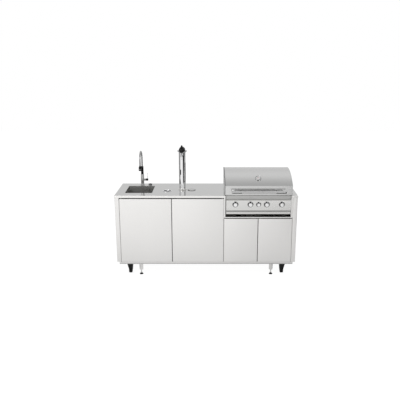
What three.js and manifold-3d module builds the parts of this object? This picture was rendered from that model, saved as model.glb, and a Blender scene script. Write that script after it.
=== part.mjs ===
// An outdoor kitchen island in stainless steel, with a sink and faucet, a drink tap tower and a built-in
// gas grill over a row of cabinet doors, standing on four casters and four levelling feet.
// Lengths are in millimetres and angles in degrees. The island is drawn with X to the right, Y back from
// its front face and Z up from the top of its counter, and the group at the end sets it on the floor.

import * as THREE from "three";
import { mergeVertices } from "three/addons/utils/BufferGeometryUtils.js";
import Module from "manifold-3d";

// The whole island
const islandWidth = 2000;
const bodyDepth = 640;
const deckHeight = 930;
const floorClearance = 140;
const sideThickness = 47;
const grillBayWidth = 757;

// Sheet metal and the gaps between pieces
const sheet = 2;
const skin = 1.5;
const seat = 0.3;
const overrun = 5;
const mergeDistance = 1e-4;
const roundSides = 20;
const barSides = 16;
const pinSides = 12;
const rodSides = 6;

// Counter
const deckSheet = 3;
const lipHeight = 25;
const lipReturnReach = 24;

// Base pan, side panels, back panel and divider
const baseHeight = 25;
const baseInset = 25;
const baseSetback = 2;
const panelCornerRadius = 5;
const backPanelRecess = 8;
const ventWidth = 90;
const ventHeight = 8;
const ventPitch = 24;
const ventRows = 3;
const ventColumnPitch = 130;
const ventColumns = 3;
const ventTop = 120;
const dividerSetback = 34;
const dividerFlange = 18;

// Doors and their pivots
const doorThickness = 20;
const doorEdgeGap = 2;
const doorMeetGap = 6;
const doorCornerRadius = 3;
const doorBottomGap = 4;
const fingerGap = 12;
const railDoorGap = 9;
const pivotInset = 18;
const pivotRadius = 4;
const pivotClearance = 0.4;
const pivotEngage = 5;
const pivotCollarRadius = 7;
const pivotHoleSpare = 2;
const pivotSweepSpare = 4;
const drainSlotWidth = 40;
const drainSlotDepth = 4;

// Finger rail behind the tops of the tall doors
const fingerRailDepth = 28;
const fingerRailDrop = 75;
const fingerRailUpstand = 12;

// Sink, its strainer and trap
const sinkWidth = 303;
const sinkRearInset = 142;
const sinkBowlHeight = 180;
const sinkCentreInset = 246.5;
const sinkFrontInset = 132;
const sinkFlange = 14;
const sinkDrainRadius = 40;
const strainerFlangeRadius = 52;
const strainerCupDepth = 36;
const strainerHoleRadius = 4;
const strainerHoleRing = 22;
const strainerHoles = 6;
const trapRadius = 19;
const trapCollarRadius = 36;
const trapCollarHeight = 14;
const trapDrop = 110;
const trapBendRadius = 45;
const trapOutletRun = 150;

// Faucet
const faucetBehindSink = 57;
const faucetFlangeRadius = 26;
const faucetFlangeHeight = 6;
const faucetColumnRadius = 18.5;
const faucetColumnHeight = 133;
const faucetShankRadius = 12;
const faucetShankLength = 60;
const leverHubHeight = 66;
const leverHubRadius = 12;
const leverHubReach = 43;
const leverCapRadius = 14;
const leverCapLength = 24;
const leverRodRadius = 3;
const leverRodRise = 82;
const leverRodShare = 0.7;
const spoutNeckHeight = 96;
const spoutNeckRadius = 15;
const spoutRadius = 8.5;
const spoutBore = 5.5;
const spoutReach = 200;
const spoutRise = 282;
const sprayTopHeight = 262;
const sprayLength = 54;
const sprayRadius = 16.5;
const sprayNeckRadius = 11;
const sprayHoseRadius = 4.5;
const sprayHoseLength = 48;
const sprayShoulderShare = 0.25;
const sprayLipShare = 0.9;

// Pop-up waste knob
const drainKnobOffset = 89;
const drainKnobBehindSink = 78;
const drainKnobRadius = 22;
const drainKnobHeight = 12;
const drainKnobStemRadius = 4;
const drainKnobStemLength = 26;
const drainKnobTopShare = 0.82;

// Shares of the counter that is left free between the sink and the grill: the gaps before the fittings
const rinserGapShare = 0.212;
const towerGapShare = 0.132;
const grommetGapShare = 0.024;

// Drink tap tower
const towerFromFront = 320;
const towerFlangeRadius = 48;
const towerFlangeHeight = 7;
const towerRadius = 38;
const towerHeight = 430;
const towerBrimRadius = 56;
const towerBrimRise = 15;
const towerLineHole = 14;
const towerCapRadius = 35.5;
const towerCapSeatRadius = 24;
const tapHeight = 405;
const tapShankRadius = 8;
const tapCollarRadius = 15;
const tapCollarLength = 7;
const tapBodyRadius = 11.5;
const tapBodyRise = 12;
const tapBodyDrop = 14;
const tapSpoutRadius = 7;
const tapSpoutLength = 34;
const tapSpoutTilt = 22;
const tapHandleLength = 97;
const tapHandleRadius = 33;
const tapHandleFootRadius = 6;
const tapHandleFootSteps = 3;
const tapHandleBallSteps = 6;
const tapHandleCrownRadius = 14;
const tapHandleTipFootRadius = 9;
const tapHandleTipRadius = 3;
const tapHandleCentreShare = 0.42;
const tapHandleTipShare = 0.77;

// Glass rinser and the round grommet lid beside the tower
const rinserFromFront = 235;
const rinserRadius = 56;
const rinserRim = 8;
const rinserDepth = 12;
const rinserDrainRadius = 9;
const rinserDrainLength = 30;
const rinserStarRadius = 40;
const rinserStarHub = 11;
const rinserStarArmWidth = 6;
const rinserStarArms = 6;
const rinserStarThickness = 5;
const rinserTravel = 5;
const rinserStemRadius = 4;
const rinserStemLength = 24;
const grommetFromFront = 280;
const grommetRadius = 45;
const grommetCollar = 6;
const grommetLidHeight = 3;

// Grill: its place, and the stack of its front from the counter down
const grillShift = 2;
const hoodSideGap = 9;
const panelStepIn = 16;
const stileGap = 9;
const fireboxDepth = 500;
const apronSetback = 6;
const apronHeight = 45;
const panelHeight = 113;
const panelProud = 22;
const panelChamfer = 6;
const trayFrontHeight = 45;
const trayAirGap = 34;
const railHeight = 13;
const rimReach = 14;

// Firebox ledges, from the counter down
const ledgeReach = 14;
const grateLedgeDrop = 22;
const tentLedgeDrop = 70;
const runnerReach = 12;

// Cooking grates, flame tents, burners and warming rack
const grateBarWidth = 7;
const grateBarHeight = 9;
const gratePitch = 38;
const grateGap = 2;
const tentHalfWidth = 58;
const tentRise = 26;
const burnerRadius = 13;
const burnerBore = 8;
const burnerMouthDepth = 40;
const burnerFrontGap = 12;
const burnerRearGap = 20;
const crossoverWidth = 20;
const rackHeight = 104;
const rackRodRadius = 2.5;
const rackPostRadius = 3;
const rackDepth = 84;
const rackRods = 6;
const rackBehindGap = 32;

// Gas manifold, valves and igniter
const manifoldRadius = 8;
const manifoldDrop = 26;
const valveWidth = 22;
const valveHeight = 44;
const valveRise = 15;
const nozzleRadius = 3.5;
const nozzleHoleRadius = 7;
const nozzleReach = 24;
const igniterWidth = 36;
const igniterHeight = 26;

// Control knobs and their bezels
const outerKnobShare = 0.716;
const innerKnobShare = 0.252;
const knobDrop = 92;
const knobRadius = 22;
const knobLength = 30;
const knobSkirt = 6;
const knobTaper = 3;
const knobStemRadius = 4;
const knobHoleRadius = 6;
const knobPointerWidth = 4;
const knobPointerHeight = 2;
const bezelRadius = 32.5;
const bezelHeight = 5;
const bezelWall = 8;
const bezelStandoff = 1;
const centreKnobShare = 0.86;

// Drip tray
const traySideClearance = 1;
const trayTopGap = 2;
const trayWallHeight = 30;
const trayGripReach = 18;
const trayGripHeight = 22;

// Hood
const hoodBottom = 6;
const hoodCrease = 108;
const hoodTop = 238;
const hoodApex = 390;
const hoodShoulderShare = 0.385;
const hoodRearShoulder = 190;
const hoodHingeDrop = 24;
const hoodHingeY = 490;
const hoodRearOpening = 58;
const hoodCurveSteps = 8;
const hingeEarThickness = 4;
const hingeEarHalfWidth = 10;
const hingeEarGap = 1.5;
const hingePinSpare = 1.5;
const handleRadius = 13;
const handleInset = 75;
const handleStandoff = 57;
const handleRise = 55;
const handleBracketLength = 62;
const handleBracketHeight = 22;
const thermometerRadius = 34;
const thermometerDepth = 12;
const thermometerProbeRadius = 3;
const thermometerProbeLength = 34;
const thermometerShare = 0.29;
const thermometerRimHeightShare = 0.7;
const thermometerRimShare = 0.9;
const thermometerGlassShare = 0.8;

// Casters
const casterInset = 136;
const casterFromEdge = 80;
const casterWheelRadius = 50;
const casterWheelWidth = 34;
const casterWheelRound = 6;
const casterTrail = 25;
const casterPlateThickness = 4;
const casterPlateWidth = 76;
const casterPlateDepth = 70;
const casterRaceRadius = 31;
const casterRaceHeight = 10;
const casterCheek = 3;
const casterCrownHalfWidth = 32;
const casterCheekGap = 2;
const casterAxleRadius = 4;
const casterAxleBoss = 11;

// Levelling feet
const footInset = 263;
const footFromEdge = 60;
const footSleeveRadius = 21;
const footSleeveLength = 84;
const footRodRadius = 6;
const footRodClearance = 0.4;
const footRodEngage = 50;
const footPadRadius = 21;
const footPadHeight = 7;
const footConeRise = 11;
const footConeRadius = 9;
const footBoreSpare = 6;
const footPadTopShare = 0.8;

// Places worked out from the sizes above
const halfWidth = islandWidth / 2;
const innerX = halfWidth - sideThickness;
const bayX = innerX - grillBayWidth;
const grillX = (bayX + innerX) / 2 - grillShift;
const deckUnder = -deckSheet - seat;
const bodyHeight = deckHeight - floorClearance;
const baseTop = -(bodyHeight - baseHeight);
const baseUnder = -bodyHeight;
const floorZ = -deckHeight;
const panelFrontY = -panelProud;
const panelTop = -apronHeight;
const panelBottom = panelTop - panelHeight;
const trayTop = panelBottom - trayTopGap;
const trayBottom = panelBottom - trayFrontHeight;
const railTop = trayBottom - trayAirGap;
const railBottom = railTop - railHeight;
const tallDoorTop = -lipHeight - fingerGap;
const grillDoorTop = railBottom - railDoorGap;
const doorBottom = baseTop + doorBottomGap;
const pivotY = doorThickness / 2;
const pivotSweep = Math.hypot(pivotInset, pivotY) + pivotSweepSpare;
const pivotBore = pivotRadius + pivotClearance;
const rearInnerY = bodyDepth - backPanelRecess - sheet;
const sinkX = -halfWidth + sinkCentreInset;
const sinkBackY = bodyDepth - sinkRearInset;
const sinkMidY = (sinkFrontInset + sinkBackY) / 2;
const sinkFloorTop = deckUnder - sinkBowlHeight;
const faucetY = sinkBackY + faucetBehindSink;
const drainKnobX = sinkX + drainKnobOffset;
const drainKnobY = sinkBackY + drainKnobBehindSink;
const sinkRight = sinkX + sinkWidth / 2;
const freeCounter = bayX - sinkRight - 2 * (rinserRadius + towerFlangeRadius + grommetRadius);
const rinserX = sinkRight + rinserGapShare * freeCounter + rinserRadius;
const towerX = rinserX + rinserRadius + towerGapShare * freeCounter + towerFlangeRadius;
const grommetX = towerX + towerFlangeRadius + grommetGapShare * freeCounter + grommetRadius;
const hoodWidth = grillBayWidth - 2 * hoodSideGap;
const panelWidth = hoodWidth - 2 * panelStepIn;
const stileWidth = (grillBayWidth - panelWidth) / 2 - stileGap;
const outerKnobOffset = (outerKnobShare * panelWidth) / 2;
const innerKnobOffset = (innerKnobShare * panelWidth) / 2;
const knobZ = -knobDrop;
const burnerZ = knobZ;
const fireboxHalf = panelWidth / 2;
const fireboxInner = fireboxHalf - sheet;
const fireboxFrontIn = apronSetback + sheet;
const fireboxRearIn = apronSetback + fireboxDepth - sheet;
const rimTop = seat + sheet;
const hoodHalf = hoodWidth / 2;
const hingeZ = hoodBottom + hoodHingeDrop;
const burnerOffsets = [-outerKnobOffset, -innerKnobOffset, innerKnobOffset, outerKnobOffset];
const overallRear = bodyDepth + seat + deckSheet;
const overallFront = -(handleStandoff + handleRadius);
const axleZ = floorZ + casterWheelRadius;

const wasm = await Module();
wasm.setup();

// A closed three.js geometry as a solid that can be joined and cut
function solid(geometry) {
  const bare = geometry.clone();
  bare.deleteAttribute("normal");
  bare.deleteAttribute("uv");
  const merged = mergeVertices(bare, mergeDistance);
  const corners = merged.index.array;
  const faces = [];
  for (let i = 0; i < corners.length; i += 3) {
    const [a, b, c] = corners.slice(i, i + 3);
    if (a !== b && b !== c && c !== a) faces.push(a, b, c);
  }
  const vertProperties = merged.attributes.position.array;
  const made = fromTriangles(vertProperties, faces);
  return made.volume() < 0 ? fromTriangles(vertProperties, faces.reverse()) : made;
}

function fromTriangles(vertProperties, faces) {
  return new wasm.Manifold(new wasm.Mesh({ numProp: 3, vertProperties, triVerts: Uint32Array.from(faces) }));
}

// A block between two corners, given as a range along each axis
function block([x0, x1], [y0, y1], [z0, z1]) {
  const box = new THREE.BoxGeometry(x1 - x0, y1 - y0, z1 - z0);
  return solid(box.translate((x0 + x1) / 2, (y0 + y1) / 2, (z0 + z1) / 2));
}

// A range of the given half width about a middle
function about(middle, half) {
  return [middle - half, middle + half];
}

// A round bar between two points
function bar(from, to, radius, sides = barSides) {
  const start = new THREE.Vector3(...from);
  const end = new THREE.Vector3(...to);
  const along = end.clone().sub(start);
  const cylinder = new THREE.CylinderGeometry(radius, radius, along.length(), sides);
  const up = new THREE.Vector3(0, 1, 0);
  cylinder.applyQuaternion(new THREE.Quaternion().setFromUnitVectors(up, along.normalize()));
  const middle = start.add(end).divideScalar(2);
  return solid(cylinder.translate(middle.x, middle.y, middle.z));
}

// A closed outline of [radius, height] points turned about the Z axis
function turned(outline, sides = roundSides) {
  const points = outline.map(([radius, height]) => new THREE.Vector2(radius, height));
  return solid(new THREE.LatheGeometry(points, sides).rotateX(Math.PI / 2));
}

// Turns a solid whose axis is Z so that the axis points to the front, and moves it to its place
function facingFront(made, [x, y, z]) {
  return made.rotate([90, 0, 0]).translate([x, y, z]);
}

function outline(points) {
  return new THREE.Shape(points.map(([a, b]) => new THREE.Vector2(a, b)));
}

// A rectangle with round corners
function roundedRectangle([a0, a1], [b0, b1], radius) {
  const shape = new THREE.Shape();
  shape.moveTo(a0 + radius, b0);
  shape.lineTo(a1 - radius, b0);
  shape.absarc(a1 - radius, b0 + radius, radius, -Math.PI / 2, 0);
  shape.lineTo(a1, b1 - radius);
  shape.absarc(a1 - radius, b1 - radius, radius, 0, Math.PI / 2);
  shape.lineTo(a0 + radius, b1);
  shape.absarc(a0 + radius, b1 - radius, radius, Math.PI / 2, Math.PI);
  shape.lineTo(a0, b0 + radius);
  shape.absarc(a0 + radius, b0 + radius, radius, Math.PI, Math.PI * 1.5);
  return shape;
}

// A flat outline drawn out along an axis: its two coordinates are the other two axes, in X, Y, Z order
function prism(shape, axis, [from, to], curveSegments = 2) {
  const options = { depth: to - from, bevelEnabled: false, curveSegments };
  const drawn = new THREE.ExtrudeGeometry(shape, options).translate(0, 0, from);
  const x = new THREE.Vector3(1, 0, 0);
  const y = new THREE.Vector3(0, 1, 0);
  const z = new THREE.Vector3(0, 0, 1);
  const frames = { X: [y, z, x], Y: [x, z, y], Z: [x, y, z] };
  return solid(drawn.applyMatrix4(new THREE.Matrix4().makeBasis(...frames[axis])));
}

// A round tube or rod along a path, with flat ends
function swept(path, radius, steps, sides = 10) {
  const section = new THREE.Shape();
  section.absarc(0, 0, radius, 0, Math.PI * 2);
  const options = { extrudePath: path, steps, curveSegments: sides / 2, bevelEnabled: false };
  return solid(new THREE.ExtrudeGeometry(section, options));
}

function joined(solids) {
  return solids.reduce((whole, next) => whole.add(next));
}

function cut(whole, holes) {
  return holes.reduce((left, hole) => left.subtract(hole), whole);
}

// Materials
function steel(color, roughness) {
  return new THREE.MeshStandardMaterial({ color, roughness, metalness: 1 });
}
const brushedSteel = steel(0xd9d9d6, 0.35);
const deckSteel = steel(0xc4c4c2, 0.18);
const innerSteel = steel(0xa8a8a6, 0.45);
const chrome = steel(0xe6e6e8, 0.06);
const castIron = new THREE.MeshStandardMaterial({ color: 0x2b2b2c, roughness: 0.8, metalness: 0.4 });
const brass = steel(0xb8924a, 0.35);
const blackPlastic = new THREE.MeshStandardMaterial({ color: 0x17171a, roughness: 0.35, metalness: 0 });
const blackRubber = new THREE.MeshStandardMaterial({ color: 0x1c1c1c, roughness: 0.85, metalness: 0 });
const dialWhite = new THREE.MeshStandardMaterial({ color: 0xd8d8d6, roughness: 0.3, metalness: 0.6 });

const island = new THREE.Group();

// Makes a solid into a named mesh of the island
function piece(name, made, material, group = island) {
  const { vertProperties, triVerts } = made.getMesh();
  const geometry = new THREE.BufferGeometry();
  geometry.setAttribute("position", new THREE.BufferAttribute(vertProperties, 3));
  geometry.setIndex(new THREE.BufferAttribute(triVerts, 1));
  const flat = geometry.toNonIndexed();
  flat.computeVertexNormals();
  const mesh = new THREE.Mesh(flat, material);
  mesh.name = name;
  group.add(mesh);
  return mesh;
}

// A vertical hole through the counter
function deckHole(x, y, radius, sides = roundSides) {
  return bar([x, y, -lipHeight], [x, y, overrun], radius, sides);
}

// Each door's span in X, its top, the gap above it and the X of its pivot
const tallDoorWidth = (bayX + innerX - 2 * doorEdgeGap - doorMeetGap) / 2;
const grillDoorWidth = (grillBayWidth - 2 * doorEdgeGap - doorMeetGap) / 2;
const doors = [
  hungLeft("door_left", -innerX, tallDoorWidth, tallDoorTop, fingerGap),
  hungRight("door_middle", bayX, tallDoorWidth, tallDoorTop, fingerGap),
  hungLeft("grill_door_left", bayX, grillDoorWidth, grillDoorTop, railDoorGap),
  hungRight("grill_door_right", innerX, grillDoorWidth, grillDoorTop, railDoorGap),
];
const tallDoors = doors.slice(0, 2);
const grillDoors = doors.slice(2);

// A door hung at the left or the right edge of its cabinet
function hungLeft(name, edge, width, top, gapAbove) {
  const left = edge + doorEdgeGap;
  return { name, span: [left, left + width], top, gapAbove, pivotX: left + pivotInset };
}

function hungRight(name, edge, width, top, gapAbove) {
  const right = edge - doorEdgeGap;
  return { name, span: [right - width, right], top, gapAbove, pivotX: right - pivotInset };
}

function countertop() {
  const outerX = halfWidth + seat + deckSheet;
  const frontY = -seat - deckSheet;
  const shell = block([-outerX, outerX], [frontY, overallRear], [-lipHeight, 0]).subtract(
    block(about(0, halfWidth + seat), [-seat, bodyDepth + seat], [-lipHeight - overrun, -deckSheet]),
  );
  const lipReturn = block(
    [-innerX + seat, bayX - seat],
    [frontY, lipReturnReach],
    [-lipHeight, -lipHeight + sheet],
  );
  const notch = block(
    [bayX + stileWidth, innerX - stileWidth],
    [frontY - overrun, apronSetback + fireboxDepth + overrun],
    [-lipHeight - overrun, overrun],
  );
  const holes = [
    notch,
    block(about(sinkX, sinkWidth / 2), [sinkFrontInset, sinkBackY], [-lipHeight, overrun]),
    deckHole(rinserX, rinserFromFront, rinserRadius - rinserRim + seat),
    deckHole(grommetX, grommetFromFront, grommetRadius - grommetCollar + seat),
    deckHole(sinkX, faucetY, faucetShankRadius + pivotClearance),
    deckHole(drainKnobX, drainKnobY, drainKnobStemRadius + pivotClearance, pinSides),
    deckHole(towerX, towerFromFront, towerLineHole, pinSides),
  ];
  for (const door of tallDoors) {
    holes.push(doorPin(door, -lipHeight - overrun, deckUnder, pivotBore));
  }
  piece("countertop", cut(shell.add(lipReturn), holes), deckSteel);
}

// A round bar on a door's pivot line
function doorPin(door, from, to, radius) {
  return bar([door.pivotX, pivotY, from], [door.pivotX, pivotY, to], radius, pinSides);
}

// A double-skinned side panel, open at its foot
function sidePanel(name, side) {
  const span = [innerX, halfWidth];
  const plan = roundedRectangle(span, [0, bodyDepth], panelCornerRadius);
  const outer = prism(plan, "Z", [baseTop + seat, deckUnder], 1);
  const inner = block(
    [innerX + skin, halfWidth - skin],
    [skin, bodyDepth - skin],
    [baseTop - overrun, deckUnder - skin],
  );
  const panel = outer.subtract(inner);
  piece(name, side < 0 ? panel.mirror([1, 0, 0]) : panel, brushedSteel);
}

// The back panel is one sheet with rows of ventilation slots behind each cabinet
function backPanel() {
  const spanY = [rearInnerY, rearInnerY + sheet];
  const panel = block(about(0, innerX - seat), spanY, [baseTop + seat, deckUnder]);
  const slots = [];
  for (const middle of [(-innerX + bayX) / 2, grillX]) {
    for (let column = 0; column < ventColumns; column++) {
      for (let row = 0; row < ventRows; row++) {
        const x = middle + (column - (ventColumns - 1) / 2) * ventColumnPitch;
        const z = deckUnder - ventTop - row * ventPitch;
        slots.push(block(about(x, ventWidth / 2), about(rearInnerY, overrun), about(z, ventHeight / 2)));
      }
    }
  }
  piece("back_panel", cut(panel, slots), innerSteel);
}

// The divider is a web with a flange along its front and its back edge
function divider() {
  const frontY = dividerSetback;
  const backY = rearInnerY - seat;
  const [webLeft, webRight] = about(bayX, sheet / 2);
  const [left, right] = about(bayX, dividerFlange / 2);
  const shape = outline([
    [left, frontY],
    [right, frontY],
    [right, frontY + sheet],
    [webRight, frontY + sheet],
    [webRight, backY - sheet],
    [right, backY - sheet],
    [right, backY],
    [left, backY],
    [left, backY - sheet],
    [webLeft, backY - sheet],
    [webLeft, frontY + sheet],
    [left, frontY + sheet],
  ]);
  piece("divider_panel", prism(shape, "Z", [baseTop + seat, deckUnder]), innerSteel);
}

// The front and back places of a foot or a caster
function alongDepth(fromEdge) {
  return { front: fromEdge, rear: bodyDepth - fromEdge };
}

// Calls a function with the name, X and Y of each of four corner places
function atCorners(inset, fromEdge, make) {
  for (const [end, y] of Object.entries(alongDepth(fromEdge))) {
    for (const side of [-1, 1]) {
      make(`${end}_${side < 0 ? "left" : "right"}`, side * (halfWidth - inset), y);
    }
  }
}

// The base pan is a flat box open at the back, over the sleeves of the feet and the plates of the casters
function basePan() {
  const half = halfWidth - baseInset;
  const outer = block(about(0, half), [baseSetback, bodyDepth - baseSetback], [baseUnder, baseTop]);
  const inner = block(
    about(0, half - sheet),
    [baseSetback + sheet, bodyDepth],
    [baseUnder + sheet, baseTop - sheet],
  );
  let pan = outer.subtract(inner);
  for (const door of doors) {
    pan = pan.subtract(doorPin(door, baseTop - sheet - seat, doorBottom, pivotBore));
  }
  atCorners(casterInset, casterFromEdge, (name, x, y) => {
    const plate = block(
      about(x, casterPlateWidth / 2),
      about(y, casterPlateDepth / 2),
      [baseUnder - casterPlateThickness, baseUnder + sheet / 2],
    );
    pan = pan.add(plate);
  });
  atCorners(footInset, footFromEdge, (name, x, y) => {
    const sleeveEnd = baseUnder - footSleeveLength;
    const sleeve = bar([x, y, sleeveEnd], [x, y, baseUnder + sheet / 2], footSleeveRadius, pinSides);
    const boreRadius = footRodRadius + footRodClearance;
    const bore = bar([x, y, sleeveEnd - overrun], [x, y, baseUnder - footBoreSpare], boreRadius, pinSides);
    pan = pan.add(sleeve).subtract(bore);
  });
  piece("base_pan", pan, brushedSteel);
}

// The rail behind the tops of the tall doors leaves room for fingers and stops the doors
function fingerRail() {
  const wallY = doorThickness + seat + fingerRailDepth;
  const [left, right] = tallDoors.map((door) => door.pivotX);
  const span = [left + pivotSweep, right - pivotSweep];
  const bottom = -fingerRailDrop;
  const wall = block([-innerX + seat, bayX - sheet / 2 - seat], [wallY, wallY + sheet], [bottom, deckUnder]);
  const web = block(span, [doorThickness + seat, wallY + sheet], [bottom, bottom + sheet]);
  const upstand = block(
    span,
    [doorThickness + seat, doorThickness + seat + sheet],
    [bottom, bottom + fingerRailUpstand],
  );
  piece("finger_rail", wall.add(web).add(upstand), innerSteel);
}

// The frame of the grill bay is two stiles and the rail that its doors hang from
function grillFrame() {
  const depth = [0, dividerSetback - seat];
  const right = innerX - seat;
  const left = block([bayX, bayX + stileWidth], depth, [railBottom, deckUnder]);
  const far = block([right - stileWidth, right], depth, [railBottom, deckUnder]);
  const rail = block([bayX, right], depth, [railBottom, railTop]);
  let frame = left.add(far).add(rail);
  for (const door of grillDoors) {
    const holeTop = railBottom + pivotEngage + pivotHoleSpare;
    frame = frame.subtract(doorPin(door, railBottom - overrun, holeTop, pivotBore));
  }
  piece("grill_frame", frame, brushedSteel);
}

// A door is a hollow panel that turns on a pin at its top and a collared pin at its foot
function doorPiece(door) {
  const { span, top, gapAbove } = door;
  const shape = roundedRectangle(span, [0, doorThickness], doorCornerRadius);
  const outer = prism(shape, "Z", [doorBottom, top], 1);
  const inner = block(
    [span[0] + skin, span[1] - skin],
    [skin, doorThickness - skin],
    [doorBottom + skin, top - skin],
  );
  const drain = block(
    about((span[0] + span[1]) / 2, drainSlotWidth / 2),
    about(pivotY, drainSlotDepth / 2),
    about(doorBottom, skin + overrun),
  );
  const pins = [
    doorPin(door, top - skin, top + gapAbove + pivotEngage, pivotRadius),
    doorPin(door, baseTop - pivotEngage, doorBottom + skin, pivotRadius),
    doorPin(door, baseTop + seat, doorBottom + skin, pivotCollarRadius),
  ];
  piece(door.name, joined([cut(outer, [inner, drain]), ...pins]), brushedSteel);
}

// Sink bowl hung under the counter, with its strainer and trap
function sink() {
  const wallX = sinkWidth / 2 + sheet;
  const wallY = [sinkFrontInset - sheet, sinkBackY + sheet];
  const floor = sinkFloorTop - sheet;
  const flange = block(
    about(sinkX, wallX + sinkFlange),
    [wallY[0] - sinkFlange, wallY[1] + sinkFlange],
    [deckUnder - sheet, deckUnder],
  );
  const walls = block(about(sinkX, wallX), wallY, [floor, deckUnder]);
  const plan = [about(sinkX, sinkWidth / 2), [sinkFrontInset, sinkBackY]];
  const hollow = block(...plan, [sinkFloorTop, deckUnder + overrun]);
  const drain = bar(
    [sinkX, sinkMidY, floor - overrun],
    [sinkX, sinkMidY, sinkFloorTop + overrun],
    sinkDrainRadius,
    roundSides,
  );
  piece("sink_bowl", flange.add(walls).subtract(hollow).subtract(drain), innerSteel);

  const rim = seat + sheet;
  const cupRadius = sinkDrainRadius - seat * 2;
  let strainer = turned([
    [0, -strainerCupDepth],
    [cupRadius, -strainerCupDepth],
    [cupRadius, seat],
    [strainerFlangeRadius, seat],
    [strainerFlangeRadius, rim],
    [cupRadius - sheet, rim],
    [cupRadius - sheet, sheet - strainerCupDepth],
    [0, sheet - strainerCupDepth],
  ]);
  for (let i = 0; i < strainerHoles; i++) {
    const angle = (i / strainerHoles) * Math.PI * 2;
    const [x, y] = [strainerHoleRing * Math.cos(angle), strainerHoleRing * Math.sin(angle)];
    const hole = bar([x, y, -strainerCupDepth - overrun], [x, y, sheet], strainerHoleRadius, rodSides);
    strainer = strainer.subtract(hole);
  }
  piece("sink_strainer", strainer.translate([sinkX, sinkMidY, sinkFloorTop]), chrome);

  // The trap is a collar under the strainer, then a pipe down, round its bend and out to the back
  const top = sinkFloorTop - strainerCupDepth - seat;
  const low = top - trapCollarHeight - trapDrop;
  const collar = bar([sinkX, sinkMidY, top - trapCollarHeight], [sinkX, sinkMidY, top], trapCollarRadius);
  const path = new THREE.CurvePath();
  const at = (y, z) => new THREE.Vector3(sinkX, y, z);
  const y1 = sinkMidY;
  const y2 = y1 + trapBendRadius * 2;
  const y3 = y2 + trapBendRadius;
  const rise = low + trapBendRadius / 2;
  const points = [at(y1, top - trapCollarHeight + overrun), at(y1, low)];
  path.add(new THREE.LineCurve3(points[0], points[1]));
  path.add(bend(at(y1, low), at(y1, low - trapBendRadius), at(y1 + trapBendRadius, low - trapBendRadius)));
  path.add(bend(at(y1 + trapBendRadius, low - trapBendRadius), at(y2, low - trapBendRadius), at(y2, low)));
  path.add(new THREE.LineCurve3(at(y2, low), at(y2, rise)));
  path.add(bend(at(y2, rise), at(y2, rise + trapBendRadius), at(y3, rise + trapBendRadius)));
  const outletZ = rise + trapBendRadius;
  path.add(new THREE.LineCurve3(at(y3, outletZ), at(y3 + trapOutletRun, outletZ)));
  piece("drain_trap", collar.add(swept(path, trapRadius, 20, 8)), chrome);
}

// A quarter bend in a path as a curve between two points with its corner as the control point
function bend(from, corner, to) {
  return new THREE.QuadraticBezierCurve3(from, corner, to);
}

function faucet() {
  const place = [sinkX, faucetY, 0];
  const hubTip = leverHubReach;
  const column = turned([
    [0, -faucetShankLength],
    [faucetShankRadius, -faucetShankLength],
    [faucetShankRadius, seat],
    [faucetFlangeRadius, seat],
    [faucetFlangeRadius, faucetFlangeHeight / 2],
    [faucetColumnRadius, faucetFlangeHeight + seat],
    [faucetColumnRadius, faucetColumnHeight],
    [0, faucetColumnHeight],
  ]);
  const hub = bar([0, 0, leverHubHeight], [hubTip, 0, leverHubHeight], leverHubRadius);
  piece("faucet_body", column.add(hub).translate(place), chrome);

  const capX = hubTip + seat;
  const cap = bar([capX, 0, leverHubHeight], [capX + leverCapLength, 0, leverHubHeight], leverCapRadius);
  const rodX = capX + leverCapLength * leverRodShare;
  const rodTip = leverHubHeight + leverRodRise;
  const leverRod = bar([rodX, 0, leverHubHeight], [rodX, 0, rodTip], leverRodRadius, pinSides);
  piece("faucet_lever", cap.add(leverRod).translate(place), blackPlastic);

  // The spout swivels on the column: a black neck, then the gooseneck with a bore at its end for the hose
  const neckBase = faucetColumnHeight + seat;
  const neckTop = neckBase + spoutNeckHeight;
  const neck = turned([
    [0, neckBase],
    [spoutNeckRadius, neckBase],
    [spoutNeckRadius, neckTop - spoutNeckRadius / 2],
    [spoutRadius + seat, neckTop],
    [0, neckTop],
  ]);
  const arcRadius = spoutReach / 2;
  const arcZ = faucetColumnHeight + spoutRise - arcRadius;
  const outletZ = sprayTopHeight + seat;
  const path = new THREE.CurvePath();
  path.add(new THREE.LineCurve3(new THREE.Vector3(0, 0, neckTop - overrun), new THREE.Vector3(0, 0, arcZ)));
  path.add(new Gooseneck(arcRadius, arcZ));
  const lastStretch = [new THREE.Vector3(0, -spoutReach, arcZ), new THREE.Vector3(0, -spoutReach, outletZ)];
  path.add(new THREE.LineCurve3(...lastStretch));
  const hoseBore = bar([0, -spoutReach, outletZ - overrun], [0, -spoutReach, arcZ], spoutBore, 10);
  const spout = neck.add(swept(path, spoutRadius, 20)).subtract(hoseBore);
  piece("faucet_spout", spout.translate(place), chrome);

  // The spray head hangs from a stub of its hose inside the spout
  const head = turned(
    [
      [0, -sprayLength],
      [sprayRadius - sheet, -sprayLength],
      [sprayRadius, -sprayLength * sprayLipShare],
      [sprayRadius, -sprayLength * sprayShoulderShare],
      [sprayNeckRadius, 0],
      [sprayHoseRadius, 0],
      [sprayHoseRadius, sprayHoseLength],
      [0, sprayHoseLength],
    ],
    barSides,
  );
  piece("spray_head", head.translate([sinkX, faucetY - spoutReach, sprayTopHeight]), blackPlastic);
}

// The half circle of the gooseneck, from straight up to straight down, towards the front
class Gooseneck extends THREE.Curve {
  constructor(radius, centreZ) {
    super();
    this.radius = radius;
    this.centreZ = centreZ;
  }
  getPoint(share, target = new THREE.Vector3()) {
    const angle = share * Math.PI;
    const y = this.radius * (Math.cos(angle) - 1);
    return target.set(0, y, this.centreZ + this.radius * Math.sin(angle));
  }
}

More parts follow.
